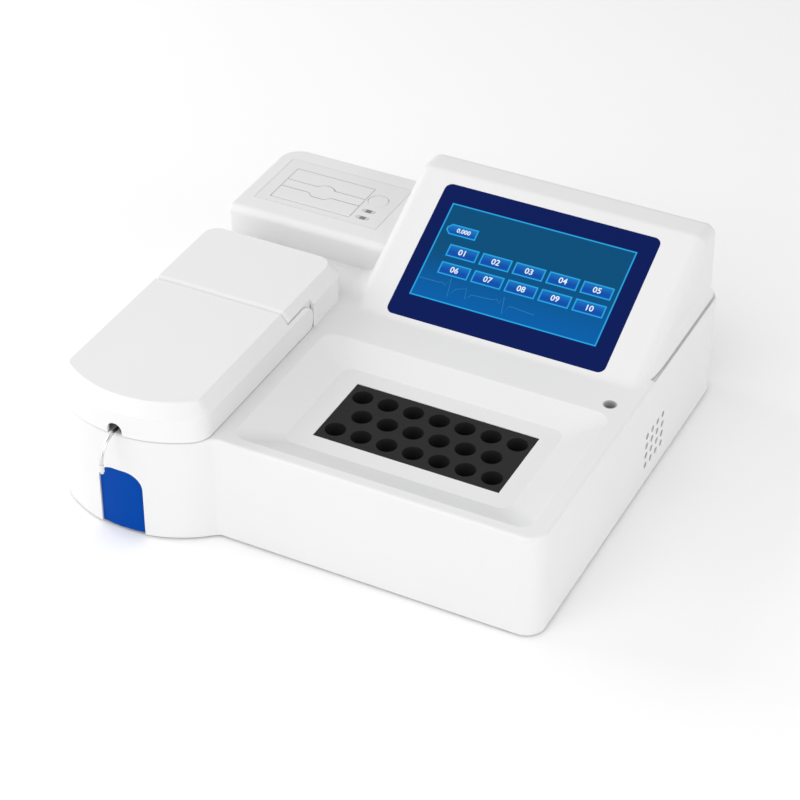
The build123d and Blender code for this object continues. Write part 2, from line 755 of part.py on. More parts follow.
# ---------------------------------------------------------------- optics
cell_cy = front_y + cell_y
with BuildPart() as holder:
    span_box(around(module_x, holder_width), around(cell_cy, holder_length),
             (comp_floor, comp_floor + holder_height))
    span_box(around(module_x, cell_size + 0.2), around(cell_cy, cell_size + 0.2),
             (comp_floor + 4, comp_floor + holder_height + 1), mode=Mode.SUBTRACT)
    rod((module_x, cell_cy - holder_length, beam_z), 3.0, 2 * holder_length, Axis.Y,
        mode=Mode.SUBTRACT)
    chamfer(holder.faces().sort_by(Axis.Z)[-1].outer_wire().edges(), 1.0)
holder.part.label = "flow_cell_holder"
export_step(holder.part, "parts/flow_cell_holder.step")

cell_top = comp_floor + holder_height + 3
with BuildPart() as cell:
    span_box(around(module_x, cell_size), around(cell_cy, cell_size), (comp_floor + 4, cell_top))
    for dx in (-nipple_gap, nipple_gap):
        rod((module_x + dx, cell_cy, cell_top), nipple_radius, nipple_height)
        rod((module_x + dx, cell_cy, beam_z), nipple_bore, 60, mode=Mode.SUBTRACT)
cell.part.label = "flow_cell"
export_step(cell.part, "parts/flow_cell.step")

with BuildPart() as detector:
    board_y = cell_cy - holder_length / 2
    span_box(around(module_x, 24), (board_y - 1.6, board_y), around(beam_z, 24))
    rod((module_x, board_y, beam_z), 2.8, 3.0, Axis.Y)
detector.part.label = "photodetector"
export_step(detector.part, "parts/photodetector.step")

with BuildPart() as wheel:
    rod((module_x, front_y + wheel_y, wheel_z), wheel_radius, wheel_thick, Axis.Y)
    rod((module_x, front_y + wheel_y, wheel_z), shaft_radius + running, wheel_thick, Axis.Y,
        mode=Mode.SUBTRACT)
    wheel_plane = Plane(origin=(module_x, front_y + wheel_y, wheel_z),
                        x_dir=(1, 0, 0), z_dir=(0, 1, 0))
    with BuildSketch(wheel_plane):
        with PolarLocations(wheel_pitch, filter_count, start_angle=90):
            Circle(filter_radius)
    extrude(amount=wheel_thick, mode=Mode.SUBTRACT)
wheel.part.label = "filter_wheel"
export_step(wheel.part, "parts/filter_wheel.step")

with BuildPart() as filters:
    with BuildSketch(wheel_plane.offset(1.0)):
        with PolarLocations(wheel_pitch, filter_count, start_angle=90):
            Circle(filter_radius - 0.02)
    extrude(amount=3.0)
filters.part.label = "interference_filters"
export_step(filters.part, "parts/interference_filters.step")

motor_y = front_y + bracket_y + bracket_thick
with BuildPart() as filter_motor:
    span_box(around(module_x, motor_size), (motor_y, motor_y + motor_length),
             around(wheel_z, motor_size))
    chamfer(filter_motor.edges().filter_by(Axis.Y), 2.0)
    rod((module_x, motor_y, wheel_z), shaft_radius, -(motor_y - front_y - wheel_y), Axis.Y)
filter_motor.part.label = "filter_motor"
export_step(filter_motor.part, "parts/filter_motor.step")

shelf_z = wheel_z + motor_size / 2 + 0.4
with BuildPart() as optics_bracket:
    across = around(module_x, lamp_width)
    lamp_end = front_y + lamp_y + lamp_length
    span_box(across, (motor_y - bracket_thick, motor_y), (base_top, shelf_z))
    span_box(across, (motor_y - bracket_thick, lamp_end), (base_top, base_top + bracket_thick))
    span_box(across, (motor_y - bracket_thick, lamp_end), (shelf_z, shelf_z + bracket_thick))
    span_box(across, (lamp_end - bracket_thick, lamp_end), (base_top, shelf_z))
    rod((module_x, motor_y - 5, wheel_z), shaft_radius + 1, 10, Axis.Y, mode=Mode.SUBTRACT)
optics_bracket.part.label = "optics_bracket"
export_step(optics_bracket.part, "parts/optics_bracket.step")

lamp_z = shelf_z + bracket_thick
lamp_front = front_y + lamp_y
with BuildPart() as lamp_housing:
    span_box(around(module_x, lamp_width), (lamp_front, lamp_front + lamp_length),
             (lamp_z, lamp_z + lamp_height))
    span_box(around(module_x, lamp_width - 6), (lamp_front + 3, lamp_front + lamp_length - 3),
             (lamp_z + 2, lamp_z + lamp_height + 1), mode=Mode.SUBTRACT)
    rod((module_x, lamp_front + 1, beam_z), lens_radius + 2, -13, Axis.Y)
    rod((module_x, lamp_front + 5, beam_z), lens_radius + 0.02, -20, Axis.Y, mode=Mode.SUBTRACT)
lamp_housing.part.label = "lamp_housing"
export_step(lamp_housing.part, "parts/lamp_housing.step")

with BuildPart() as lens:
    rod((module_x, lamp_front - 11, beam_z), lens_radius, 4, Axis.Y)
    fillet(lens.edges().sort_by(Axis.Y)[-1], 1.5)
lens.part.label = "condenser_lens"
export_step(lens.part, "parts/condenser_lens.step")

with BuildPart() as lamp:
    bulb_y = lamp_front + lamp_length / 2
    span_box(around(module_x, 12), around(bulb_y, 9), (lamp_z + 2, lamp_z + 6))
    rod((module_x, bulb_y, lamp_z + 6), 4.5, 12)
    fillet(lamp.edges().group_by(Axis.Z)[-1], 3.5)
lamp.part.label = "halogen_lamp"
export_step(lamp.part, "parts/halogen_lamp.step")

# ---------------------------------------------------------------- peristaltic pump
floor_low = comp_floor - comp_wall
with BuildPart() as pump_motor:
    rod((pump_cx, pump_cy, floor_low), 17.0, -32)
    rod((pump_cx, pump_cy, floor_low), shaft_radius, comp_wall + pump_height - 4)
pump_motor.part.label = "pump_motor"
export_step(pump_motor.part, "parts/pump_motor.step")

tube_z = comp_floor + 9.0
with BuildPart() as pump_head:
    rod((pump_cx, pump_cy, comp_floor), pump_radius, pump_height)
    rod((pump_cx, pump_cy, comp_floor + 2), track_radius, pump_height, mode=Mode.SUBTRACT)
    rod((pump_cx, pump_cy, comp_floor - 1), shaft_radius + 1, 4, mode=Mode.SUBTRACT)
    for dx in (-tube_path, tube_path):
        span_box(around(pump_cx + dx, 2 * tube_radius + 0.6), (pump_cy - pump_radius - 1, pump_cy),
                 (tube_z - tube_radius - 0.3, comp_floor + pump_height + 1), mode=Mode.SUBTRACT)
pump_head.part.label = "pump_head"
export_step(pump_head.part, "parts/pump_head.step")

rotor_low = comp_floor + 3.0
with BuildPart() as rotor:
    rod((pump_cx, pump_cy, rotor_low), 11.2, 2.0)
    rod((pump_cx, pump_cy, rotor_low), 4.2, 12.0)
    rod((pump_cx, pump_cy, rotor_low + 10), 11.2, 2.0)
    for k in range(roller_count):
        turn = 2 * math.pi * k / roller_count + math.pi / 2
        at = (pump_cx + roller_pitch * math.cos(turn), pump_cy + roller_pitch * math.sin(turn))
        rod((*at, rotor_low), roller_pin, 12.0)
    rod((pump_cx, pump_cy, rotor_low - 1), shaft_radius + running, 20, mode=Mode.SUBTRACT)
rotor.part.label = "pump_rotor"
export_step(rotor.part, "parts/pump_rotor.step")

for k in range(roller_count):
    turn = 2 * math.pi * k / roller_count + math.pi / 2
    with BuildPart() as roller:
        at = (pump_cx + roller_pitch * math.cos(turn), pump_cy + roller_pitch * math.sin(turn))
        disc_ring((*at, rotor_low + 2.3), roller_radius, roller_pin + running, 7.4)
    roller.part.label = f"pump_roller_{k + 1}"
    export_step(roller.part, f"parts/pump_roller_{k + 1}.step")

leg_y = pump_cy - pump_radius - 3
with BuildPart() as pump_tube:
    with BuildLine() as tube_line:
        FilletPolyline(
            (pump_cx - tube_path, leg_y, floor_low - 6),
            (pump_cx - tube_path, leg_y, tube_z),
            (pump_cx - tube_path, pump_cy + tube_path, tube_z),
            (pump_cx + tube_path, pump_cy + tube_path, tube_z),
            (pump_cx + tube_path, leg_y, tube_z),
            (pump_cx + tube_path, leg_y, cell_top + 10),
            (module_x + nipple_gap, cell_cy, cell_top + 10),
            (module_x + nipple_gap, cell_cy, cell_top + 0.5),
            radius=[2.9, tube_path - 0.01, tube_path - 0.01, 2.9, 6.0, 5.0],
        )
    with BuildSketch(Plane(origin=tube_line.line @ 0, z_dir=tube_line.line % 0)):
        Circle(tube_radius)
        Circle(nipple_radius + 0.02, mode=Mode.SUBTRACT)
    sweep(path=tube_line.line)
pump_tube.part.label = "pump_tube"
export_step(pump_tube.part, "parts/pump_tube.step")

with BuildPart() as sample_tube:
    with BuildLine() as sample_line:
        FilletPolyline(
            (module_x, probe_back - 3, probe_height),
            (module_x, probe_back + 12, probe_height),
            (module_x - nipple_gap, cell_cy - 11, probe_height + 13),
            (module_x - nipple_gap, cell_cy, probe_height + 13),
            (module_x - nipple_gap, cell_cy, cell_top + 0.5),
            radius=[8.0, 8.0, 5.0],
        )
    with BuildSketch(Plane(origin=sample_line.line @ 0, z_dir=sample_line.line % 0)):
        Circle(tube_radius)
        Circle(probe_radius + 0.02, mode=Mode.SUBTRACT)
    sweep(path=sample_line.line)
sample_tube.part.label = "sample_tubing"
export_step(sample_tube.part, "parts/sample_tubing.step")

# ---------------------------------------------------------------- incubator
block_top = tray_z - block_sink
with BuildPart() as incubator:
    span_box(around(block_x, block_width), around(floor_y, block_length),
             (block_top - block_height, block_top))
    with BuildSketch(Plane.XY.offset(block_top)):
        for row, count in ((-1, 7), (0, 6), (1, 7)):
            with Locations((block_x, floor_y + row * well_pitch_y)):
                with GridLocations(well_pitch_x, 1, count, 1):
                    Circle(well_radius)
    extrude(amount=-well_depth, mode=Mode.SUBTRACT)
incubator.part.label = "incubator_block"
export_step(incubator.part, "parts/incubator_block.step")

heater_top = block_top - block_height
with BuildPart() as heater:
    span_box(around(block_x, block_width), around(floor_y, block_length),
             (heater_top - heater_thick, heater_top))
heater.part.label = "heater_plate"
export_step(heater.part, "parts/heater_plate.step")

with BuildPart() as insulation:
    low = heater_top - heater_thick - insulation_wall
    span_box(around(block_x, block_width + 2 * insulation_wall + 1),
             around(floor_y, block_length + 2 * insulation_wall + 1), (low, tray_z - wall - 4))
    span_box(around(block_x, block_width + 1), around(floor_y, block_length + 1),
             (low + insulation_wall, tray_z), mode=Mode.SUBTRACT)
    for dx in (-block_width / 2, block_width / 2):
        for dy in (-block_length / 2 + 4, block_length / 2 - 4):
            rod((block_x + dx, floor_y + dy, base_top), 4.0, low - base_top)
insulation.part.label = "insulation_tray"
export_step(insulation.part, "parts/insulation_tray.step")

with BuildPart() as liner:
    liner_at = (right_x - tube_well_x, front_y + tube_well_y, deck_height - liner_depth)
    rod(liner_at, tube_well_radius, liner_depth - 0.2)
    rod((liner_at[0], liner_at[1], liner_at[2] + 1.2), tube_well_radius - 1.0, liner_depth,
        mode=Mode.SUBTRACT)
liner.part.label = "tube_well_liner"
export_step(liner.part, "parts/tube_well_liner.step")

# ---------------------------------------------------------------- screen
lit_x = screen_x + screen_width / 2 - glass_width / 2
lit_y = screen_y + screen_length / 2 - glass_length / 2

with BuildPart() as glass:
    with BuildSketch(screen_plane(0.1)):
        RectangleRounded(glass_width, glass_length, glass_corner)
    extrude(amount=0.1 - glass_thick)
glass.part.label = "touch_glass"
export_step(glass.part, "parts/touch_glass.step")

with BuildPart() as display:
    with BuildSketch(screen_plane(glass_thick)):
        with Locations((lit_x, lit_y)):
            Rectangle(screen_width + 8, screen_length + 14)
    extrude(amount=-display_thick)
display.part.label = "display_panel"
export_step(display.part, "parts/display_panel.step")

frame_depth = glass_thick + display_thick + 0.1
with BuildPart() as display_frame:
    with BuildSketch(screen_plane(wall + 0.1)):
        Rectangle(glass_width - 4, glass_length - 4)
        Rectangle(glass_width - 7, glass_length - 7, mode=Mode.SUBTRACT)
    extrude(amount=wall + 0.1 - frame_depth)
    with BuildSketch(screen_plane(frame_depth)):
        Rectangle(glass_width - 4, glass_length - 4)
        Rectangle(glass_width / 2, glass_length / 2, mode=Mode.SUBTRACT)
    extrude(amount=-panel_thick)
display_frame.part.label = "display_frame"
export_step(display_frame.part, "parts/display_frame.step")

# ---------------------------------------------------------------- electronics and rear panel
with BuildPart() as board:
    board_x = (right_x - 236.0, right_x - 96.0)
    board_ys = (front_y + 185.0, front_y + 295.0)
    span_box(board_x, board_ys, (board_z, board_z + 1.6))
    top = board_z + 1.6
    for cx, cy, sx, sy, sz in (
        (-200, 215, 22, 22, 3), (-160, 210, 14, 20, 5), (-130, 230, 30, 16, 12),
        (-205, 270, 24, 12, 9), (-150, 270, 12, 12, 16), (-118, 275, 10, 24, 8),
    ):
        span_box(around(right_x + cx, sx), around(front_y + cy, sy), (top, top + sz))
    for px in (board_x[0] + 6, board_x[1] - 6):
        for py in (board_ys[0] + 6, board_ys[1] - 6):
            rod((px, py, base_top), 3.0, board_z - base_top)
board.part.label = "main_board"
export_step(board.part, "parts/main_board.step")

with BuildPart() as supply:
    supply_x = (right_x - 82.0, right_x - 20.0)
    supply_y = (front_y + 205.0, front_y + 305.0)
    span_box(supply_x, supply_y, (base_top, base_top + 38.0))
    with BuildSketch(Plane.XY.offset(base_top + 38.0)):
        with Locations(((supply_x[0] + supply_x[1]) / 2, (supply_y[0] + supply_y[1]) / 2)):
            with GridLocations(9.0, 9.0, 5, 9):
                RegularPolygon(3.2, 6)
    extrude(amount=-1.5, mode=Mode.SUBTRACT)
supply.part.label = "power_supply"
export_step(supply.part, "parts/power_supply.step")

usb_x = right_x - 182.0
grommet_x = right_x - 214.0
with BuildPart() as rear_panel:
    span_box(around(panel_x, panel_width + 2 * panel_lap), (panel_y - panel_thick, panel_y),
             around(panel_z, panel_height + 2 * panel_lap))
    panel_cut = (panel_y - 5, panel_y + 1)
    span_box(around(inlet_x, inlet_width), panel_cut, around(port_z, inlet_height), mode=Mode.SUBTRACT)
    span_box(around(switch_x, switch_width), panel_cut, around(port_z, switch_height),
             mode=Mode.SUBTRACT)
    span_box(around(usb_x, usb_width), panel_cut, around(port_z, usb_height), mode=Mode.SUBTRACT)
    rod((grommet_x, panel_y - 5, port_z), grommet_radius, 8, Axis.Y, mode=Mode.SUBTRACT)
    for px, pz in panel_screws:
        rod((px, panel_y - 5, pz), screw_radius + 0.05, 8, Axis.Y, mode=Mode.SUBTRACT)
    for radius, count in ((6.0, 6), (12.5, 12), (19.0, 18)):
        for k in range(count):
            turn = 2 * math.pi * k / count
            rod((fan_x + radius * math.cos(turn), panel_y - 5, panel_z + radius * math.sin(turn)),
                2.0, 8, Axis.Y, mode=Mode.SUBTRACT)
rear_panel.part.label = "rear_panel"
export_step(rear_panel.part, "parts/rear_panel.step")

inlet_floor = panel_y - inlet_depth
with BuildPart() as inlet:
    span_box(around(inlet_x, inlet_width - 0.4), (inlet_floor - 3, panel_y),
             around(port_z, inlet_height - 0.4))
    span_box(around(inlet_x, inlet_width + 4), (panel_y, panel_y + 1.6),
             around(port_z, inlet_height + 4))
    span_box(around(inlet_x, inlet_width - 4), (inlet_floor, panel_y + 3),
             around(port_z, inlet_height - 4), mode=Mode.SUBTRACT)
    for dx, dz in ((-7.0, -2.0), (0, 2.0), (7.0, -2.0)):
        span_box(around(inlet_x + dx, 2.0), (inlet_floor - 1, panel_y - 2),
                 around(port_z + dz, 4.0))
inlet.part.label = "power_inlet"
export_step(inlet.part, "parts/power_inlet.step")

pivot_y = panel_y - 1.5
with BuildPart() as switch_body:
    span_box(around(switch_x, switch_width - 0.4), (panel_y - 14, panel_y),
             around(port_z, switch_height - 0.4))
    span_box(around(switch_x, switch_width + 2.4), (panel_y, panel_y + 1.4),
             around(port_z, switch_height + 3))
    span_box(around(switch_x, rocker_width + 0.6), (panel_y - 11, panel_y + 2),
             around(port_z, rocker_height + 1.8), mode=Mode.SUBTRACT)
    rod((switch_x - 6.6, pivot_y, port_z), rocker_pin + running, 13.2, Axis.X, mode=Mode.SUBTRACT)
switch_body.part.label = "switch_body"
export_step(switch_body.part, "parts/switch_body.step")

tilt = math.radians(rocker_throw / 2)
with BuildPart() as rocker:
    with BuildSketch(Plane(origin=(switch_x - rocker_width / 2, pivot_y, port_z),
                           x_dir=(0, math.cos(tilt), math.sin(tilt)), z_dir=(1, 0, 0))):
        Rectangle(4.0, rocker_height)
    extrude(amount=rocker_width)
    rod((switch_x - rocker_width / 2 - 0.9, pivot_y, port_z), rocker_pin, rocker_width + 1.8, Axis.X)
rocker.part.label = "power_rocker"
export_step(rocker.part, "parts/power_rocker.step")

with BuildPart() as usb:
    span_box(around(usb_x, usb_width - 0.3), (panel_y - 16, panel_y + 0.8),
             around(port_z, usb_height - 0.3))
    span_box(around(usb_x, usb_width - 3), (panel_y - 12, panel_y + 2),
             around(port_z, usb_height - 3), mode=Mode.SUBTRACT)
    span_box(around(usb_x, usb_width - 7), (panel_y - 13, panel_y - 2), around(port_z, 3.0))
usb.part.label = "usb_port"
export_step(usb.part, "parts/usb_port.step")

with BuildPart() as grommet:
    rod((grommet_x, panel_y - panel_thick - 1, port_z), grommet_radius + 1.6, 1.0, Axis.Y)
    rod((grommet_x, panel_y - panel_thick, port_z), grommet_radius - 0.02, panel_thick, Axis.Y)
    rod((grommet_x, panel_y, port_z), grommet_radius + 1.6, 1.2, Axis.Y)
    rod((grommet_x, panel_y - 5, port_z), 2.2, 10, Axis.Y, mode=Mode.SUBTRACT)
grommet.part.label = "waste_grommet"
export_step(grommet.part, "parts/waste_grommet.step")

fan_y = panel_y - panel_thick - fan_deep
with BuildPart() as fan_frame:
    span_box(around(fan_x, fan_size), (fan_y, fan_y + fan_deep), around(panel_z, fan_size))
    rod((fan_x, fan_y - 1, panel_z), fan_size / 2 - 1.6, fan_deep + 2, Axis.Y, mode=Mode.SUBTRACT)
    rod((fan_x, fan_y + fan_deep - 2, panel_z), fan_hub, 2, Axis.Y)
    rod((fan_x, fan_y + 2, panel_z), 1.5, fan_deep - 3, Axis.Y)
    with BuildSketch(Plane(origin=(fan_x, fan_y + fan_deep, panel_z), z_dir=(0, 1, 0))):
        with PolarLocations(fan_size / 4, 3):
            Rectangle(fan_size / 2, 3.0)
    extrude(amount=-2)
fan_frame.part.label = "fan_frame"
export_step(fan_frame.part, "parts/fan_frame.step")

with BuildPart() as impeller:
    blade_reach = fan_size / 2 - 2.4 - fan_hub
    rod((fan_x, fan_y + 1.5, panel_z), fan_hub, fan_deep - 4.5, Axis.Y)
    for k in range(blade_count):
        turn = 2 * math.pi * k / blade_count
        radial = Vector(math.cos(turn), 0, math.sin(turn))
        across = Vector(-math.sin(turn), 0, math.cos(turn))
        middle = Vector(fan_x, fan_y + 1.5 + (fan_deep - 4.5) / 2, panel_z)
        twist = math.radians(blade_twist)
        normal = across * math.cos(twist) + Vector(0, math.sin(twist), 0)
        blade_at = middle + radial * (fan_hub + blade_reach / 2 - 1.0)
        with BuildSketch(Plane(origin=blade_at, x_dir=radial, z_dir=normal)):
            Rectangle(blade_reach + 1.0, 9.0)
        extrude(amount=0.5, both=True)
    rod((fan_x, fan_y, panel_z), 1.5 + running, fan_deep, Axis.Y, mode=Mode.SUBTRACT)
impeller.part.label = "fan_impeller"
export_step(impeller.part, "parts/fan_impeller.step")

# ---------------------------------------------------------------- strip printer
bezel_z = tower_height - bezel_thick
with BuildPart() as bezel:
    span_box(around(bezel_x, bezel_width), around(bezel_y, bezel_length), (bezel_z, tower_height))
    span_box(around(door_x, door_width + 2 * fit_gap), (door_y0, door_y1), (bezel_z - 1, tower_height + 1),
             mode=Mode.SUBTRACT)
    rod((door_x - door_width / 2 - 2.4, door_axis_y, door_axis_z), door_pin + running,
        door_width + 4.8, Axis.X, mode=Mode.SUBTRACT)
    rod((door_x, thumb_y, bezel_z - 1), thumb_radius + paper_slot, bezel_thick + 2, mode=Mode.SUBTRACT)
    rod((button_x, button_y, bezel_z - 1), button_radius + fit_gap, bezel_thick + 2,
        mode=Mode.SUBTRACT)
    for dy in lens_rows:
        with BuildSketch(Plane.XY.offset(tower_height)):
            with Locations((button_x, button_y - dy)):
                SlotOverall(lens_long + 0.2, lens_wide + 0.2)
        extrude(amount=-bezel_thick, mode=Mode.SUBTRACT)
bezel.part.label = "printer_bezel"
export_step(bezel.part, "parts/printer_bezel.step")

lug_x = roll_width / 2 + 1.0
with BuildPart() as door:
    rod((door_x - door_width / 2, door_axis_y, door_axis_z), door_round, door_width, Axis.X)
    rod((door_x - door_width / 2 - 2.0, door_axis_y, door_axis_z), door_pin, door_width + 4.0, Axis.X)
    span_box(around(door_x, door_width), (door_axis_y, door_y1 - paper_slot), (bezel_z, tower_height))
    rod((door_x, thumb_y, bezel_z), thumb_radius, bezel_thick)
    for side in (-1, 1):
        span_box(around(door_x + side * (lug_x + 2.0), 2.4), around(platen_y, 7.0),
                 (platen_z - 3.0, bezel_z))
    rod((door_x - lug_x - 4, platen_y, platen_z), platen_pin + running, 2 * lug_x + 8, Axis.X,
        mode=Mode.SUBTRACT)
door.part.label = "printer_door"
export_step(door.part, "parts/printer_door.step")

with BuildPart() as platen:
    rod((door_x - roll_width / 2, platen_y, platen_z), platen_radius, roll_width, Axis.X)
    rod((door_x - lug_x - 3.0, platen_y, platen_z), platen_pin, 2 * lug_x + 6.0, Axis.X)
platen.part.label = "platen_roller"
export_step(platen.part, "parts/platen_roller.step")

head_y = platen_y + platen_radius + head_gap
with BuildPart() as head:
    span_box(around(door_x, roll_width), (head_y, head_y + 4.0), (platen_z - 6, bezel_z))
head.part.label = "print_head"
export_step(head.part, "parts/print_head.step")

roll_y = door_axis_y + roll_radius + 1.0
roll_z = bezel_z - 10.0 - roll_radius
with BuildPart() as bucket:
    bucket_y = (roll_y - roll_radius - 1.0, head_y + 4.0)
    bucket_x = around(door_x, roll_width + 3)
    bucket_floor = roll_z - roll_radius - 0.6
    span_box((bucket_x[0] - 1.6, bucket_x[1] + 1.6), (bucket_y[0] - 1.6, bucket_y[1] + 1.6),
             (bucket_floor - 1.6, platen_z - 7.0))
    span_box(bucket_x, bucket_y, (bucket_floor, bezel_z), mode=Mode.SUBTRACT)
    span_box((door_x - 12, door_x + 12), (bucket_y[1], bucket_y[1] + 1.6), (platen_z - 7.0, bezel_z))
bucket.part.label = "paper_bucket"
export_step(bucket.part, "parts/paper_bucket.step")

with BuildPart() as paper:
    disc_ring((door_x - roll_width / 2, roll_y, roll_z), roll_radius, 6.0, roll_width, Axis.X)
paper.part.label = "paper_roll"
export_step(paper.part, "parts/paper_roll.step")

with BuildPart() as button:
    rod((button_x, button_y, tower_height), button_radius, -button_thick)
    fillet(button.edges().group_by(Axis.Z)[-1], 0.5)
button.part.label = "feed_button"
export_step(button.part, "parts/feed_button.step")

with BuildPart() as lenses:
    with BuildSketch(Plane.XY.offset(tower_height - 0.1)):
        for dy in lens_rows:
            with Locations((button_x, button_y - dy)):
                SlotOverall(lens_long, lens_wide)
    extrude(amount=-1.4)
lenses.part.label = "indicator_lenses"
export_step(lenses.part, "parts/indicator_lenses.step")
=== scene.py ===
import math

import bmesh
import bpy
from bpy.props import FloatProperty, FloatVectorProperty, PointerProperty
from mathutils import Matrix, Vector


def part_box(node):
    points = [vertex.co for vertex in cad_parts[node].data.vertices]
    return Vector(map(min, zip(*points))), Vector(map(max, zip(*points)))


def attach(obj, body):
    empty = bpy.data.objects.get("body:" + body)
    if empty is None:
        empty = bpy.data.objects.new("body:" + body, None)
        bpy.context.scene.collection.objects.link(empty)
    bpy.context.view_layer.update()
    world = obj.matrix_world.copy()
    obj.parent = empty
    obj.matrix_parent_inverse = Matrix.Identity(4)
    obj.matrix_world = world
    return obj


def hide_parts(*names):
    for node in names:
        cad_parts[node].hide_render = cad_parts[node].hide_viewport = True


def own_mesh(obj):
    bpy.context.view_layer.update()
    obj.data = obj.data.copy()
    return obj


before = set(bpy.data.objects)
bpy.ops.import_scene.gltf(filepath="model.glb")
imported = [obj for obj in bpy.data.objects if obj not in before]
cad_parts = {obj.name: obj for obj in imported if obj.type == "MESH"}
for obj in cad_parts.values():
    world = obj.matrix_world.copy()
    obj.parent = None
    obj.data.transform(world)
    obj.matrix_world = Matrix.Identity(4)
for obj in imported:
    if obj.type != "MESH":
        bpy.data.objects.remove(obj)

bl_info = {
    "name": "Bench photometer",
    "version": (1, 0, 0),
    "blender": (4, 5, 0),
    "location": "3D View > Sidebar > Photometer",
    "description": "Builds the looks of a bench photometer round its CAD frame",
    "category": "Object",
}

MM = 0.001
CASE = "case"
SCREEN_SLOPE = math.radians(27.45)
GLASS_THICKNESS = 1.4 * MM
CAMERA_PLACE = (0.663899, -1.315891, 1.136742)

# a black strip shaped like a light seal lies just under the seam between the lid and the case: painted shade,
# a dark sheet put in the seam to stand in for its shadow
SEAM_HEIGHT = 90.1 * MM
SHADE_STRIP_TOP, SHADE_STRIP_BOTTOM = SEAM_HEIGHT - 0.12 * MM, SEAM_HEIGHT - 0.58 * MM
SHADE_STRIP_SHRINK = 0.992

# fine lines on the printer's plate, measured from its front edge or from the door's middle
LEAF_FRONT, LEAF_BACK, LEAF_HALF = 6.8 * MM, 53.4 * MM, 35.6 * MM
GROOVE_BACK, GROOVE_BULGE = 24.9 * MM, 4.4 * MM
BULGE_END, BULGE_TOP = 11.0 * MM, 5.0 * MM
LEAF_LINE, GROOVE_LINE, LINE_HOLLOW = 0.4 * MM, 0.55 * MM, 0.4 * MM

# where the lamp stands behind an indicator's lens
LAMP_EDGE, LAMP_CORE = 3.2 * MM, 1.8 * MM
PAPER_TURN = 0.6 * MM

# heights of the characters and lines of the screen, from the glass's lower left corner
NUMERAL_HEIGHT, READING_HEIGHT = 7.0 * MM, 5.2 * MM
TRACE_WIDTH, TRACE_LIFT = 0.5 * MM, 0.03 * MM


# ---------------------------------------------------------------- settings
def colour(name, description, default):
    return FloatVectorProperty(
        name=name, description=description, subtype="COLOR", size=3, min=0, max=1, default=default
    )


class PhotometerShell(bpy.types.PropertyGroup):
    housing: colour("Housing", "Colour of the moulded case", (0.765, 0.765, 0.765))
    lid: colour("Lids", "Colour of the measuring lid and its rear cover", (0.79, 0.785, 0.785))
    bezel: colour("Printer bezel", "Colour of the strip printer's plate", (0.74, 0.74, 0.74))
    groove: colour("Grooves", "Colour inside the printer's fine grooves", (0.24, 0.24, 0.24))
    roughness: FloatProperty(
        name="Roughness", description="Roughness of the moulded case", default=0.42, min=0, max=1
    )
    grain: FloatProperty(
        name="Grain", description="Width of the mould's grain", default=0.00045, min=0.0001,
        max=0.01, unit="LENGTH",
    )
    grain_depth: FloatProperty(
        name="Grain depth", description="Strength of the mould's grain", default=0.05, min=0, max=1
    )


class PhotometerScreen(bpy.types.PropertyGroup):
    border: colour("Border", "Colour behind the glass round the lit area", (0.0015, 0.0095, 0.108))
    top: colour("Upper tint", "Colour of the lit area's upper part", (0.0015, 0.083, 0.215))
    bottom: colour("Lower tint", "Colour at the lit area's lower edge", (0.0, 0.125, 0.43))
    line: colour("Line", "Colour of the frame lines", (0.022, 0.42, 0.85))
    button: colour("Button", "Colour of the buttons on the screen", (0.004, 0.085, 0.45))
    mark: colour("Mark", "Colour of the numerals", (0.85, 0.93, 1.0))
    brightness: FloatProperty(
        name="Brightness", description="Light given off by the screen", default=0.92, min=0, max=10
    )
    line_width: FloatProperty(
        name="Line width", description="Width of the frame lines", default=0.0011, min=0.0002,
        max=0.005, unit="LENGTH",
    )


class PhotometerFittings(bpy.types.PropertyGroup):
    trigger: colour("Trigger", "Colour of the aspirating trigger", (0.0, 0.055, 0.335))
    block: colour("Block", "Colour of the anodised incubator block", (0.022, 0.022, 0.023))
    rubber: colour("Rubber", "Colour of the feet", (0.025, 0.025, 0.027))
    plastic: colour("Black plastic", "Colour of the black fittings", (0.018, 0.018, 0.020))
    steel: colour("Steel", "Colour of bright steel", (0.72, 0.73, 0.75))
    zinc: colour("Zinc", "Colour of zinc-plated sheet", (0.50, 0.51, 0.53))
    tube: colour("Tubing", "Colour of the silicone tubing", (0.78, 0.80, 0.80))
    board: colour("Circuit board", "Colour of the solder mask", (0.006, 0.12, 0.045))
    foot_groove: FloatProperty(
        name="Foot groove", description="Depth of the groove round a foot", default=0.0006,
        min=0.0, max=0.002, unit="LENGTH",
    )


class PhotometerStage(bpy.types.PropertyGroup):
    floor: colour("Floor", "Colour of the floor", (0.95, 0.95, 0.95))
    world: FloatProperty(
        name="World light", description="Strength of the even light", default=0.68, min=0, max=10
    )
    key: FloatProperty(
        name="Key light", description="Power of the low front light", default=12.0, min=0,
        max=1000, unit="POWER",
    )
    fill: FloatProperty(
        name="Fill light", description="Power of the light at the right", default=11.5, min=0,
        max=1000, unit="POWER",
    )
    left: FloatProperty(
        name="Left light", description="Power of the light at the left", default=16.0, min=0,
        max=1000, unit="POWER",
    )
    lens: FloatProperty(
        name="Lens", description="Focal length on a 36 mm sensor, in mm", default=108.57, min=20,
        max=400,
    )
    azimuth: FloatProperty(
        name="Azimuth", description="Camera's angle to the right of the front",
        default=math.radians(26.426), unit="ROTATION",
    )
    elevation: FloatProperty(
        name="Elevation", description="Camera's angle above the table",
        default=math.radians(36.464), unit="ROTATION",
    )
    roll: FloatProperty(
        name="Roll", description="Camera's turn about its own axis",
        default=math.radians(0.412), unit="ROTATION",
    )


SETTINGS = {
    "photometer_shell": PhotometerShell,
    "photometer_screen": PhotometerScreen,
    "photometer_fittings": PhotometerFittings,
    "photometer_stage": PhotometerStage,
}


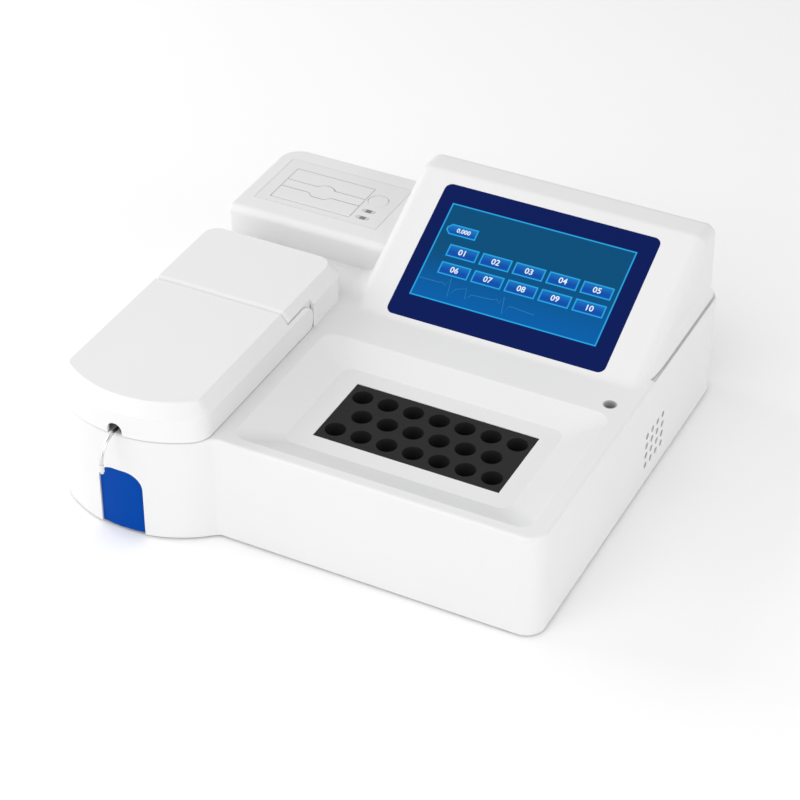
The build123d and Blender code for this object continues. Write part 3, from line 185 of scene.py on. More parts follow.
# ---------------------------------------------------------------- shader building
def add_node(tree, kind, sockets=None, **settings):
    """Adds a node, then sets or links the sockets given by name or number."""
    node = tree.nodes.new(kind)
    for key, value in settings.items():
        setattr(node, key, value)
    for key, value in (sockets or {}).items():
        if isinstance(value, bpy.types.NodeSocket):
            tree.links.new(value, node.inputs[key])
        else:
            node.inputs[key].default_value = value
    return node


def sum_of(tree, operation, *values):
    """Result of a maths node on values that are numbers or sockets."""
    return add_node(tree, "ShaderNodeMath", dict(enumerate(values)), operation=operation).outputs[0]


def blend_colours(tree, mask, low, high):
    """Mix of two colours, each a socket or three numbers."""
    node = tree.nodes.new("ShaderNodeMix")
    node.data_type = "RGBA"
    for key, value in ((0, mask), (6, low), (7, high)):
        if isinstance(value, bpy.types.NodeSocket):
            tree.links.new(value, node.inputs[key])
        elif key == 0:
            node.inputs[key].default_value = value
        else:
            node.inputs[key].default_value = (*value, 1)
    return node.outputs[2]


def group(name, inputs, outputs, fill):
    """Makes a shader node group once. fill(tree, inputs, outputs) wires it."""
    if name in bpy.data.node_groups:
        return bpy.data.node_groups[name]
    tree = bpy.data.node_groups.new(name, "ShaderNodeTree")
    kinds = {"float": "NodeSocketFloat", "vector": "NodeSocketVector", "colour": "NodeSocketColor"}
    for label, kind, default in inputs:
        socket = tree.interface.new_socket(name=label, in_out="INPUT", socket_type=kinds[kind])
        socket.default_value = default
    for label, kind in outputs:
        tree.interface.new_socket(name=label, in_out="OUTPUT", socket_type=kinds[kind])
    ends = tree.nodes.new("NodeGroupInput"), tree.nodes.new("NodeGroupOutput")
    fill(tree, ends[0].outputs, ends[1].inputs)
    return tree


def use_group(tree, made, sockets):
    node = tree.nodes.new("ShaderNodeGroup")
    node.node_tree = made
    for key, value in sockets.items():
        if isinstance(value, bpy.types.NodeSocket):
            tree.links.new(value, node.inputs[key])
        else:
            node.inputs[key].default_value = value
    return node.outputs


def mould_grain():
    """Fine spark-eroded texture of a mould: a normal, and masks for faint changes in shade."""

    def fill(tree, given, made):
        point = tree.nodes.new("ShaderNodeTexCoord").outputs["Object"]
        scale = sum_of(tree, "DIVIDE", 1.0, given["Width"])
        fine = add_node(tree, "ShaderNodeTexNoise",
                        {"Vector": point, "Scale": scale, "Detail": 3.0, "Roughness": 0.6})
        wide = add_node(tree, "ShaderNodeTexNoise", {"Vector": point, "Scale": 14.0, "Detail": 2.0})
        bump = add_node(tree, "ShaderNodeBump",
                        {"Height": fine.outputs[0], "Strength": given["Depth"], "Distance": 0.0003})
        tree.links.new(bump.outputs[0], made["Normal"])
        tree.links.new(fine.outputs[0], made["Fine"])
        tree.links.new(wide.outputs[0], made["Wide"])

    return group("Mould grain", [("Width", "float", 0.0005), ("Depth", "float", 0.05)],
                 [("Normal", "vector"), ("Fine", "float"), ("Wide", "float")], fill)


def brushed():
    """Long scratches along X, with a normal and a mask."""

    def fill(tree, given, made):
        point = tree.nodes.new("ShaderNodeTexCoord").outputs["Object"]
        stretched = add_node(tree, "ShaderNodeMapping", {"Vector": point, "Scale": given["Scale"]})
        noise = add_node(tree, "ShaderNodeTexNoise",
                         {"Vector": stretched.outputs[0], "Scale": 1.0, "Detail": 4.0})
        bump = add_node(tree, "ShaderNodeBump", {"Height": noise.outputs[0], "Strength": 0.12,
                                                 "Distance": 0.0002})
        tree.links.new(bump.outputs[0], made["Normal"])
        tree.links.new(noise.outputs[0], made["Mask"])

    return group("Brushed metal", [("Scale", "vector", (60, 2500, 2500))],
                 [("Normal", "vector"), ("Mask", "float")], fill)


def box_distance():
    """Distance outside (+) or inside (-) a rectangle, in metres."""

    def fill(tree, given, made):
        reach = []
        for axis in "UV":
            off = sum_of(tree, "ABSOLUTE", sum_of(tree, "SUBTRACT", given[axis], given["Centre " + axis]))
            reach.append(sum_of(tree, "SUBTRACT", off, given["Half " + axis]))
        tree.links.new(sum_of(tree, "MAXIMUM", *reach), made["Distance"])

    names = ("U", "V", "Centre U", "Centre V", "Half U", "Half V")
    return group("Box distance", [(n, "float", 0.0) for n in names], [("Distance", "float")], fill)


def drawn_line():
    """Mask of a line of a width along the places where a distance is nought."""

    def fill(tree, given, made):
        off = sum_of(tree, "ABSOLUTE", given["Distance"])
        half = sum_of(tree, "MULTIPLY", given["Width"], 0.5)
        soft = add_node(tree, "ShaderNodeMapRange", {
            "Value": off, "From Min": sum_of(tree, "MULTIPLY", half, 1.25),
            "From Max": sum_of(tree, "MULTIPLY", half, 0.75), "To Min": 0.0, "To Max": 1.0})
        tree.links.new(soft.outputs[0], made["Mask"])

    return group("Drawn line", [("Distance", "float", 0.0), ("Width", "float", 0.001)],
                 [("Mask", "float")], fill)


def new_material(name, base, roughness, metallic=0.0, coat=0.0, ior=1.5, specular=0.5):
    """Material with a Principled shader whose constants stand on its sockets."""
    material = bpy.data.materials.new(name)
    material.use_nodes = True
    shader = material.node_tree.nodes["Principled BSDF"]
    shader.inputs["Base Color"].default_value = (*base, 1)
    shader.inputs["Roughness"].default_value = roughness
    shader.inputs["Metallic"].default_value = metallic
    shader.inputs["Coat Weight"].default_value = coat
    shader.inputs["IOR"].default_value = ior
    shader.inputs["Specular IOR Level"].default_value = specular
    return material, material.node_tree, shader


def moulded(name, base, roughness, width=0.0005, depth=0.05, coat=0.0, shade=0.03, specular=0.3):
    """Moulded plastic: grain in the normal, faint wide changes in colour and roughness."""
    material, tree, shader = new_material(name, base, roughness, coat=coat, specular=specular)
    grain = use_group(tree, mould_grain(), {"Width": width, "Depth": depth})
    darker = tuple(c * (1 - shade) for c in base)
    tone = blend_colours(tree, grain["Wide"], darker, base)
    tree.links.new(tone, shader.inputs["Base Color"])
    rough = add_node(tree, "ShaderNodeMapRange", {
        "Value": grain["Fine"], "To Min": roughness - 0.04, "To Max": roughness + 0.05})
    tree.links.new(rough.outputs[0], shader.inputs["Roughness"])
    tree.links.new(grain["Normal"], shader.inputs["Normal"])
    return material


def metal(name, base, roughness, scale=(60, 2500, 2500)):
    """Machined or rolled metal with fine scratches."""
    material, tree, shader = new_material(name, base, roughness, metallic=1.0)
    marks = use_group(tree, brushed(), {"Scale": scale})
    tone = blend_colours(tree, marks["Mask"], tuple(c * 0.88 for c in base), base)
    tree.links.new(tone, shader.inputs["Base Color"])
    rough = add_node(tree, "ShaderNodeMapRange", {
        "Value": marks["Mask"], "To Min": roughness - 0.06, "To Max": roughness + 0.08})
    tree.links.new(rough.outputs[0], shader.inputs["Roughness"])
    tree.links.new(marks["Normal"], shader.inputs["Normal"])
    return material


def clear(name, base, roughness, weight=0.9):
    """Glass or clear plastic."""
    material, tree, shader = new_material(name, base, roughness, ior=1.46)
    shader.inputs["Transmission Weight"].default_value = weight
    grain = use_group(tree, mould_grain(), {"Width": 0.002, "Depth": 0.02})
    tree.links.new(grain["Normal"], shader.inputs["Normal"])
    return material


def glowing(name, base, strength):
    """Marks that shine on the screen, a little uneven like the dots of a display."""
    material, tree, shader = new_material(name, (0, 0, 0), 0.3)
    grain = use_group(tree, mould_grain(), {"Width": 0.0006, "Depth": 0.0})
    tone = blend_colours(tree, grain["Fine"], tuple(c * 0.9 for c in base), base)
    tree.links.new(tone, shader.inputs["Emission Color"])
    shader.inputs["Emission Strength"].default_value = strength
    return material


def paint(material, *nodes):
    """Gives CAD nodes a material."""
    for name in nodes:
        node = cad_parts[name]
        node.data.materials.clear()
        node.data.materials.append(material)


# ---------------------------------------------------------------- mesh building
def mesh_object(name, form, body, material, replaced=()):
    """Turns a bmesh into a smooth-shaded piece that rides on a body."""
    data = bpy.data.meshes.new(name)
    form.to_mesh(data)
    form.free()
    piece = bpy.data.objects.new(name, data)
    bpy.context.scene.collection.objects.link(piece)
    data.materials.append(material)
    data.shade_smooth()
    data.set_sharp_from_angle(angle=math.radians(32))
    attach(piece, body)
    if replaced:
        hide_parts(*replaced)
    return piece


def turned(form, profile, at, axis, steps=40):
    """Adds a turned solid: profile holds (radius, height) pairs from bottom to top, in metres."""
    upright = Vector((0, 0, 1)).rotation_difference(Vector(axis)).to_matrix().to_4x4()
    place = Matrix.Translation(at) @ upright
    points = [form.verts.new(place @ Vector((r, 0, h))) for r, h in profile]
    edges = [form.edges.new(pair) for pair in zip(points, points[1:])]
    made = bmesh.ops.spin(
        form, geom=points + edges, cent=place.translation, axis=place.to_3x3() @ Vector((0, 0, 1)),
        steps=steps, angle=2 * math.pi,
    )
    bmesh.ops.remove_doubles(form, verts=form.verts, dist=1e-7)
    bmesh.ops.recalc_face_normals(form, faces=form.faces)
    return made


def middle(node):
    low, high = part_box(node)
    return (Vector(low) + Vector(high)) / 2


class ScreenFrame:
    """The glass's face: an origin at its lower left corner, and its two directions."""

    def __init__(self):
        low = Vector(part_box("touch_glass")[0])
        self.right = Vector((1, 0, 0))
        self.up = Vector((0, math.cos(SCREEN_SLOPE), math.sin(SCREEN_SLOPE)))
        self.normal = self.right.cross(self.up)
        rise = GLASS_THICKNESS * math.cos(SCREEN_SLOPE)
        self.origin = Vector((low.x, low.y, low.z + rise))

    def point(self, u, v, lift=0.05 * MM):
        return self.origin + self.right * u + self.up * v + self.normal * lift


# layout of the picture on the glass, from its lower left corner
LIT_LOW, LIT_HIGH = (12.1 * MM, 20.3 * MM), (166.3 * MM, 105.2 * MM)
BUTTON_FIRST = (37.3 * MM, 49.0 * MM)
BUTTON_PITCH = (28.15 * MM, 16.2 * MM)
BUTTON_HALF = (12.0 * MM, 4.9 * MM)
TAG_MIDDLE, TAG_HALF = (29.0 * MM, 83.2 * MM), (12.4 * MM, 4.2 * MM)


def screen_material(look):
    """The picture seen through the touch glass, drawn from distances to its lines."""
    material, tree, shader = new_material("Touch glass", look.border, 0.12, specular=0.06)
    face = ScreenFrame()
    point = tree.nodes.new("ShaderNodeTexCoord").outputs["Object"]
    local = add_node(tree, "ShaderNodeVectorMath", {0: point, 1: face.origin}, operation="SUBTRACT")
    u, v = (
        add_node(tree, "ShaderNodeVectorMath", {0: local.outputs[0], 1: way},
                 operation="DOT_PRODUCT").outputs["Value"]
        for way in (face.right, face.up)
    )

    def distance(u, v, centre, half):
        return use_group(tree, box_distance(), {
            "U": u, "V": v, "Centre U": centre[0], "Centre V": centre[1],
            "Half U": half[0], "Half V": half[1]})["Distance"]

    def line(off, width):
        return use_group(tree, drawn_line(), {"Distance": off, "Width": width})["Mask"]

    def inside(off):
        return add_node(tree, "ShaderNodeMapRange", {
            "Value": off, "From Min": 0.0001, "From Max": -0.0001}).outputs[0]

    lit_centre = [(a + b) / 2 for a, b in zip(LIT_LOW, LIT_HIGH)]
    lit_half = [(b - a) / 2 for a, b in zip(LIT_LOW, LIT_HIGH)]
    lit = distance(u, v, lit_centre, lit_half)
    ramp = add_node(tree, "ShaderNodeMapRange", {
        "Value": v, "From Min": LIT_LOW[1], "From Max": LIT_LOW[1] + 52 * MM},
        interpolation_type="SMOOTHSTEP").outputs[0]
    picture = blend_colours(tree, ramp, look.bottom, look.top)

    # the two rows of buttons repeat one cell
    cell = []
    for value, first, pitch in ((u, BUTTON_FIRST[0], BUTTON_PITCH[0]), (v, BUTTON_FIRST[1], BUTTON_PITCH[1])):
        cell.append(sum_of(tree, "WRAP", sum_of(tree, "SUBTRACT", value, first), pitch / 2, -pitch / 2))
    rows = distance(u, v, (BUTTON_FIRST[0] + 2 * BUTTON_PITCH[0], BUTTON_FIRST[1] + BUTTON_PITCH[1] / 2),
                    (2.5 * BUTTON_PITCH[0], BUTTON_PITCH[1]))
    button = sum_of(tree, "MAXIMUM", distance(cell[0], cell[1], (0, 0), BUTTON_HALF), rows)

    # the tag at the upper left ends in a point
    tag = distance(u, v, TAG_MIDDLE, TAG_HALF)
    tip = sum_of(tree, "SUBTRACT", sum_of(tree, "ABSOLUTE", sum_of(tree, "SUBTRACT", v, TAG_MIDDLE[1])),
                 sum_of(tree, "SUBTRACT", u, TAG_MIDDLE[0] - TAG_HALF[0] - 1.2 * MM))
    tag = sum_of(tree, "MAXIMUM", tag, sum_of(tree, "MULTIPLY", tip, 0.75))

    glow_height = sum_of(tree, "DIVIDE", cell[1], BUTTON_HALF[1])
    sheen = add_node(tree, "ShaderNodeMapRange", {
        "Value": glow_height, "From Min": -0.2, "From Max": 1.0, "To Min": 0.0, "To Max": 0.35}).outputs[0]
    button_tone = blend_colours(tree, sheen, look.button, look.line)
    for shape in (button, tag):
        picture = blend_colours(tree, inside(shape), picture, button_tone)
        picture = blend_colours(tree, line(shape, look.line_width), picture, look.line)
    picture = blend_colours(tree, inside(lit), look.border, picture)
    picture = blend_colours(tree, line(lit, look.line_width), picture, look.line)

    # fine dots of the display
    dots = add_node(tree, "ShaderNodeTexNoise", {"Vector": point, "Scale": 1800.0}).outputs[0]
    dots = add_node(tree, "ShaderNodeMapRange", {"Value": dots, "To Min": 0.94, "To Max": 1.04}).outputs[0]
    tree.links.new(picture, shader.inputs["Emission Color"])
    tree.links.new(sum_of(tree, "MULTIPLY", dots, look.brightness), shader.inputs["Emission Strength"])
    shader.inputs["Base Color"].default_value = (0.001, 0.002, 0.004, 1)
    return material


def ribbon(form, points, width, lift):
    """Adds a flat line of a width through points on the glass."""
    face = ScreenFrame()
    flat = [Vector(p) for p in points]
    sides = []
    for i, p in enumerate(flat):
        before, after = flat[max(i - 1, 0)], flat[min(i + 1, len(flat) - 1)]
        along = (after - before).normalized()
        off = Vector((-along.y, along.x)) * width / 2
        sides.append([form.verts.new(face.point(*(p + off * s), lift)) for s in (-1, 1)])
    for (a, b), (c, d) in zip(sides, sides[1:]):
        form.faces.new((a, c, d, b))


def numeral(form, text, centre, height):
    """Adds text as flat faces on the glass."""
    face = ScreenFrame()
    curve = bpy.data.curves.new("numeral", "FONT")
    curve.body = text
    curve.size = height
    curve.align_x, curve.align_y = "CENTER", "CENTER"
    curve.resolution_u = 3
    curve.offset = 0.00012
    holder = bpy.data.objects.new("numeral", curve)
    bpy.context.scene.collection.objects.link(holder)
    bpy.context.view_layer.update()
    data = bpy.data.meshes.new_from_object(holder.evaluated_get(bpy.context.evaluated_depsgraph_get()))
    way = Matrix((face.right, face.up, face.normal)).transposed().to_4x4()
    data.transform(Matrix.Translation(face.point(*centre)) @ way)
    form.from_mesh(data)
    bpy.data.objects.remove(holder)
    bpy.data.curves.remove(curve)
    bpy.data.meshes.remove(data)


# ---------------------------------------------------------------- pieces and their operators
def printer_material(name, base, look):
    """Plate of the printer with its fine grooves, drawn as dark lines with their own hollow."""
    material, tree, shader = new_material(name, base, 0.38, coat=0.1)
    low = Vector(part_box("printer_bezel")[0])
    door_low, door_high = (Vector(v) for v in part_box("printer_door"))
    split = tree.nodes.new("ShaderNodeSeparateXYZ")
    tree.links.new(tree.nodes.new("ShaderNodeTexCoord").outputs["Object"], split.inputs[0])
    x, y = split.outputs[0], split.outputs[1]
    door_x = (door_low.x + door_high.x) / 2
    frame_line = use_group(tree, box_distance(), {
        "U": x, "V": y, "Centre U": door_x, "Centre V": low.y + (LEAF_FRONT + LEAF_BACK) / 2,
        "Half U": LEAF_HALF, "Half V": (LEAF_BACK - LEAF_FRONT) / 2})["Distance"]
    within = sum_of(tree, "LESS_THAN", frame_line, 0.0)
    leaf_line = use_group(tree, drawn_line(), {"Distance": frame_line, "Width": LEAF_LINE})["Mask"]
    off = sum_of(tree, "ABSOLUTE", sum_of(tree, "SUBTRACT", x, door_x))
    bulge = add_node(tree, "ShaderNodeMapRange", {
        "Value": off, "From Min": BULGE_END, "From Max": BULGE_TOP, "To Min": 0.0,
        "To Max": GROOVE_BULGE}, interpolation_type="SMOOTHSTEP").outputs[0]
    path = sum_of(tree, "ADD", sum_of(tree, "SUBTRACT", y, low.y + GROOVE_BACK), bulge)
    drawn = use_group(tree, drawn_line(), {"Distance": path, "Width": GROOVE_LINE})["Mask"]
    front_groove = sum_of(tree, "MULTIPLY", drawn, within)
    groove = sum_of(tree, "MAXIMUM", leaf_line, front_groove)
    upward = tree.nodes.new("ShaderNodeSeparateXYZ")
    tree.links.new(tree.nodes.new("ShaderNodeNewGeometry").outputs["True Normal"], upward.inputs[0])
    groove = sum_of(tree, "MULTIPLY", groove, sum_of(tree, "GREATER_THAN", upward.outputs[2], 0.8))
    grain = use_group(tree, mould_grain(), {"Width": look.grain, "Depth": look.grain_depth})
    tone = blend_colours(tree, grain["Wide"], tuple(c * 0.97 for c in base), base)
    tree.links.new(blend_colours(tree, groove, tone, look.groove), shader.inputs["Base Color"])
    hollow = add_node(tree, "ShaderNodeBump", {
        "Height": sum_of(tree, "SUBTRACT", 1.0, groove), "Strength": 0.8, "Distance": LINE_HOLLOW,
        "Normal": grain["Normal"]})
    tree.links.new(hollow.outputs[0], shader.inputs["Normal"])
    return material


class PHOTOMETER_OT_shell(bpy.types.Operator):
    """Finishes the case, the measuring lid and its rear cover"""

    bl_idname = "photometer.shell"
    bl_label = "Case and lids"

    def execute(self, context):
        look = context.scene.photometer_shell
        paint(moulded("Housing plastic", tuple(look.housing), look.roughness, look.grain,
                      look.grain_depth), "main_housing")
        paint(moulded("Lid plastic", tuple(look.lid), look.roughness - 0.08, look.grain * 1.2,
                      look.grain_depth * 0.6, coat=0.08), "measuring_lid", "lid_rear_cover")
        return {"FINISHED"}


def lid_section(height):
    """The lid's wall cut through at a height, as a flat ring of faces."""
    form = bmesh.new()
    form.from_mesh(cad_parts["measuring_lid"].data)
    bmesh.ops.remove_doubles(form, verts=form.verts, dist=1e-6)
    cut = bmesh.ops.bisect_plane(
        form, geom=form.verts[:] + form.edges[:] + form.faces[:], plane_co=(0, 0, height),
        plane_no=(0, 0, 1), clear_inner=True, clear_outer=True,
    )
    edges = [item for item in cut["geom_cut"] if isinstance(item, bmesh.types.BMEdge)]
    bmesh.ops.triangle_fill(form, edges=edges, use_beauty=True, normal=(0, 0, 1))
    return form


class PHOTOMETER_OT_seam_shade(bpy.types.Operator):
    """Makes a black strip under the lid's seam, shaped like a light seal: painted shade that darkens the seam
    """

    bl_idname = "photometer.seal"
    bl_label = "Seam shade strip"

    def execute(self, context):
        fittings = context.scene.photometer_fittings
        lid_low, lid_high = (Vector(v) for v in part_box("measuring_lid"))
        form = lid_section(SEAM_HEIGHT + 0.4 * MM)
        centre = Vector(((lid_low.x + lid_high.x) / 2, (lid_low.y + lid_high.y) / 2, 0))
        for vert in form.verts:
            vert.co = centre + (vert.co - centre) * SHADE_STRIP_SHRINK
            vert.co.z = SHADE_STRIP_TOP
        lower = bmesh.ops.extrude_face_region(form, geom=form.faces[:])
        for item in lower["geom"]:
            if isinstance(item, bmesh.types.BMVert):
                item.co.z = SHADE_STRIP_BOTTOM
        bmesh.ops.recalc_face_normals(form, faces=form.faces)
        # the black strip is painted shade: it makes the seam under the lid look dark where its shadow would
        # be
        mesh_object("seam_shade_strip", form, CASE,
                    moulded("Seam shade black", tuple(fittings.rubber), 0.9, 0.0008, 0.4, shade=0.3,
                            specular=0.1))
        return {"FINISHED"}


class PHOTOMETER_OT_printer(bpy.types.Operator):
    """Finishes the strip printer: bezel, door, paper, button and lamps"""

    bl_idname = "photometer.printer"
    bl_label = "Strip printer"

    def execute(self, context):
        look = context.scene.photometer_shell
        fittings = context.scene.photometer_fittings
        plate = printer_material("Printer plate", tuple(look.bezel), look)
        paint(plate, "printer_bezel", "printer_door")
        paint(moulded("Button plastic", tuple(look.bezel), 0.35, look.grain, 0.04), "feed_button")
        paint(lens_material(), "indicator_lenses")
        paint(moulded("Bucket plastic", (0.30, 0.31, 0.33), 0.5), "paper_bucket")
        paint(moulded("Roller rubber", tuple(fittings.rubber), 0.75, 0.0004, 0.3), "platen_roller")
        paint(moulded("Print head", (0.05, 0.05, 0.055), 0.35), "print_head")
        paint(paper_material(), "paper_roll")
        return {"FINISHED"}


def lens_material():
    """Smoked lens, darker in the middle where the lamp stands."""
    material, tree, shader = new_material("Indicator lens", (0.40, 0.41, 0.42), 0.18, coat=0.4)
    centre = middle("indicator_lenses")
    split = tree.nodes.new("ShaderNodeSeparateXYZ")
    tree.links.new(tree.nodes.new("ShaderNodeTexCoord").outputs["Object"], split.inputs[0])
    off = sum_of(tree, "ABSOLUTE", sum_of(tree, "SUBTRACT", split.outputs[0], centre.x))
    lamp = add_node(tree, "ShaderNodeMapRange", {
        "Value": off, "From Min": LAMP_EDGE, "From Max": LAMP_CORE}, interpolation_type="SMOOTHSTEP")
    tone = blend_colours(tree, lamp.outputs[0], (0.56, 0.57, 0.58), (0.17, 0.18, 0.19))
    tree.links.new(tone, shader.inputs["Base Color"])
    return material


def paper_material():
    """Thermal paper with the turns of its roll on both ends."""
    material, tree, shader = new_material("Paper roll", (0.85, 0.85, 0.83), 0.8)
    centre = middle("paper_roll")
    point = tree.nodes.new("ShaderNodeTexCoord").outputs["Object"]
    away = add_node(tree, "ShaderNodeVectorMath", {0: point, 1: centre}, operation="SUBTRACT")
    flat = add_node(tree, "ShaderNodeVectorMath", {0: away.outputs[0], 1: (0, 1, 1)},
                    operation="MULTIPLY")
    radius = add_node(tree, "ShaderNodeVectorMath", {0: flat.outputs[0]}, operation="LENGTH")
    per_turn = 2 * math.pi / PAPER_TURN
    turns = sum_of(tree, "SINE", sum_of(tree, "MULTIPLY", radius.outputs["Value"], per_turn))
    shade = add_node(tree, "ShaderNodeMapRange", {"Value": turns, "From Min": -1.0})
    tone = blend_colours(tree, shade.outputs[0], (0.66, 0.66, 0.64), (0.86, 0.86, 0.84))
    tree.links.new(tone, shader.inputs["Base Color"])
    return material


class PHOTOMETER_OT_screen(bpy.types.Operator):
    """Draws the touch screen's picture and finishes the panel behind it"""

    bl_idname = "photometer.screen"
    bl_label = "Touch screen"

    def execute(self, context):
        look = context.scene.photometer_screen
        fittings = context.scene.photometer_fittings
        paint(screen_material(look), "touch_glass")
        marks = bmesh.new()
        for row in range(2):
            for column in range(5):
                centre = (BUTTON_FIRST[0] + column * BUTTON_PITCH[0],
                          BUTTON_FIRST[1] + row * BUTTON_PITCH[1])
                numeral(marks, f"{(1 - row) * 5 + column + 1:02d}", centre, NUMERAL_HEIGHT)
        numeral(marks, "0.000", (TAG_MIDDLE[0] + 1.5 * MM, TAG_MIDDLE[1]), READING_HEIGHT)
        mesh_object("screen_numerals", marks, CASE, glowing("Screen mark", tuple(look.mark), 1.0))
        trace = bmesh.new()
        beats = [(12, 36), (30, 36), (33, 37), (35, 34.5), (38, 42), (41, 26), (45, 34), (53, 37),
                 (55, 28), (59, 33), (76, 34), (79, 35.5), (82, 32.5), (84, 39), (87.5, 24),
                 (91, 32.5), (112, 31)]
        ribbon(trace, [(u * MM, v * MM) for u, v in beats], TRACE_WIDTH, TRACE_LIFT)
        mesh_object("screen_trace", trace, CASE,
                    glowing("Screen trace", (0.003, 0.26, 0.66), 0.75))
        paint(metal("Screen tray", tuple(fittings.zinc), 0.35), "display_frame")
        paint(moulded("Display module", (0.20, 0.22, 0.25), 0.3), "display_panel")
        return {"FINISHED"}


class PHOTOMETER_OT_incubator(bpy.types.Operator):
    """Finishes the heated tube block and what holds it"""

    bl_idname = "photometer.incubator"
    bl_label = "Incubator"

    def execute(self, context):
        fittings = context.scene.photometer_fittings
        block = moulded("Anodised block", tuple(fittings.block), 0.42, 0.0006, 0.10, shade=0.25,
                        specular=0.10)
        paint(block, "incubator_block")
        paint(metal("Heater plate", (0.66, 0.67, 0.68), 0.35), "heater_plate")
        paint(moulded("Foam", (0.05, 0.05, 0.055), 0.95, 0.0012, 0.6, shade=0.3), "insulation_tray")
        paint(moulded("Well liner", (0.42, 0.42, 0.43), 0.4), "tube_well_liner")
        return {"FINISHED"}


class PHOTOMETER_OT_sampling(bpy.types.Operator):
    """Finishes the probe, the trigger, the pump and the tubing"""

    bl_idname = "photometer.sampling"
    bl_label = "Sampling"

    def execute(self, context):
        fittings = context.scene.photometer_fittings
        steel = metal("Bright steel", tuple(fittings.steel), 0.2)
        zinc = metal("Zinc plate", tuple(fittings.zinc), 0.38, (900, 900, 60))
        nylon = moulded("White nylon", (0.72, 0.70, 0.69), 0.45, 0.0008, 0.08)
        tube = clear("Silicone", tuple(fittings.tube), 0.28, 0.45)
        black = moulded("Black plastic", tuple(fittings.plastic), 0.4)
        paint(moulded("Trigger plastic", tuple(fittings.trigger), 0.3, 0.0005, 0.04, specular=0.03),
              "aspirate_trigger")
        paint(steel, "aspirating_probe", "pump_roller_1", "pump_roller_2", "pump_roller_3",
              "hinge_pins")
        coil_spring(steel)
        paint(nylon, "probe_sleeve", "probe_clip", "pump_rotor")
        paint(tube, "sample_tubing", "pump_tube")
        paint(zinc, "trigger_bracket", "pump_motor")
        paint(black, "trigger_switch")
        paint(moulded("Pump grey", (0.24, 0.25, 0.27), 0.45), "pump_head")
        return {"FINISHED"}


def coil_spring(material):
    """The trigger's spring, made from its CAD node as a piece with its own mesh, riding on the case."""
    form = bmesh.new()
    form.from_mesh(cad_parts["trigger_spring"].data)
    bmesh.ops.remove_doubles(form, verts=form.verts, dist=1e-6)
    piece = mesh_object("coil_spring", form, CASE, material, ["trigger_spring"])
    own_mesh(piece)


class PHOTOMETER_OT_optics(bpy.types.Operator):
    """Finishes the flow cell, the filter wheel and the lamp"""

    bl_idname = "photometer.optics"
    bl_label = "Optics"

    def execute(self, context):
        fittings = context.scene.photometer_fittings
        paint(metal("Machined aluminium", (0.76, 0.77, 0.79), 0.3, (40, 1800, 1800)),
              "flow_cell_holder", "lamp_housing")
        paint(metal("Bent sheet", tuple(fittings.zinc), 0.4, (900, 900, 60)), "optics_bracket")
        paint(clear("Quartz", (0.90, 0.95, 0.97), 0.04), "flow_cell", "condenser_lens",
              "halogen_lamp")
        paint(moulded("Wheel anodising", tuple(fittings.block), 0.4, 0.0006, 0.1), "filter_wheel")
        paint(filter_material(), "interference_filters")
        paint(moulded("Motor shell", (0.05, 0.05, 0.055), 0.4), "filter_motor")
        paint(board_material(fittings), "photodetector", "main_board")
        return {"FINISHED"}


def filter_material():
    """Coated filters, each with the tint of its place round the wheel."""
    material, tree, shader = new_material("Filter coating", (0.2, 0.1, 0.4), 0.08, metallic=0.6)
    centre = middle("filter_wheel")
    split = tree.nodes.new("ShaderNodeSeparateXYZ")
    tree.links.new(tree.nodes.new("ShaderNodeTexCoord").outputs["Object"], split.inputs[0])
    across = sum_of(tree, "SUBTRACT", split.outputs[0], centre.x)
    up = sum_of(tree, "SUBTRACT", split.outputs[2], centre.z)
    turn = sum_of(tree, "DIVIDE", sum_of(tree, "ARCTAN2", up, across), 2 * math.pi)
    step = sum_of(tree, "DIVIDE", sum_of(tree, "ROUND", sum_of(tree, "MULTIPLY", turn, 8.0)), 8.0)
    tint = add_node(tree, "ShaderNodeCombineColor", {
        0: sum_of(tree, "FRACT", sum_of(tree, "ADD", step, 1.0)), 1: 0.75, 2: 0.6}, mode="HSV")
    tree.links.new(tint.outputs[0], shader.inputs["Base Color"])
    return material


def board_material(fittings):
    """Solder mask over squared copper tracks."""
    base = tuple(fittings.board)
    material, tree, shader = new_material("Circuit board", base, 0.3, coat=0.3)
    point = tree.nodes.new("ShaderNodeTexCoord").outputs["Object"]
    tracks = add_node(tree, "ShaderNodeTexBrick", {
        "Vector": point, "Color1": (0, 0, 0, 1), "Color2": (0.5, 0.5, 0.5, 1),
        "Mortar": (1, 1, 1, 1), "Scale": 120.0, "Mortar Size": 0.06})
    tone = blend_colours(tree, tracks.outputs[0], base, tuple(min(c * 2.2 + 0.01, 1) for c in base))
    tree.links.new(tone, shader.inputs["Base Color"])
    bump = add_node(tree, "ShaderNodeBump", {
        "Height": tracks.outputs[0], "Strength": 0.3, "Distance": 0.0001})
    tree.links.new(bump.outputs[0], shader.inputs["Normal"])
    return material


class PHOTOMETER_OT_rear(bpy.types.Operator):
    """Finishes the rear panel, its sockets, the fan and the power supply"""

    bl_idname = "photometer.rear"
    bl_label = "Rear panel and power"

    def execute(self, context):
        fittings = context.scene.photometer_fittings
        paint(metal("Supply box", tuple(fittings.zinc), 0.35, (80, 1500, 1500)), "power_supply")
        paint(moulded("Panel paint", (0.34, 0.35, 0.37), 0.5, 0.0007, 0.25), "rear_panel")
        black = moulded("Socket plastic", tuple(fittings.plastic), 0.38, 0.0006, 0.06)
        paint(black, "power_inlet", "switch_body", "waste_grommet", "fan_frame", "fan_impeller")
        paint(moulded("Rocker plastic", (0.035, 0.035, 0.037), 0.25, coat=0.2), "power_rocker")
        paint(metal("Socket shell", tuple(fittings.steel), 0.22), "usb_port")
        return {"FINISHED"}


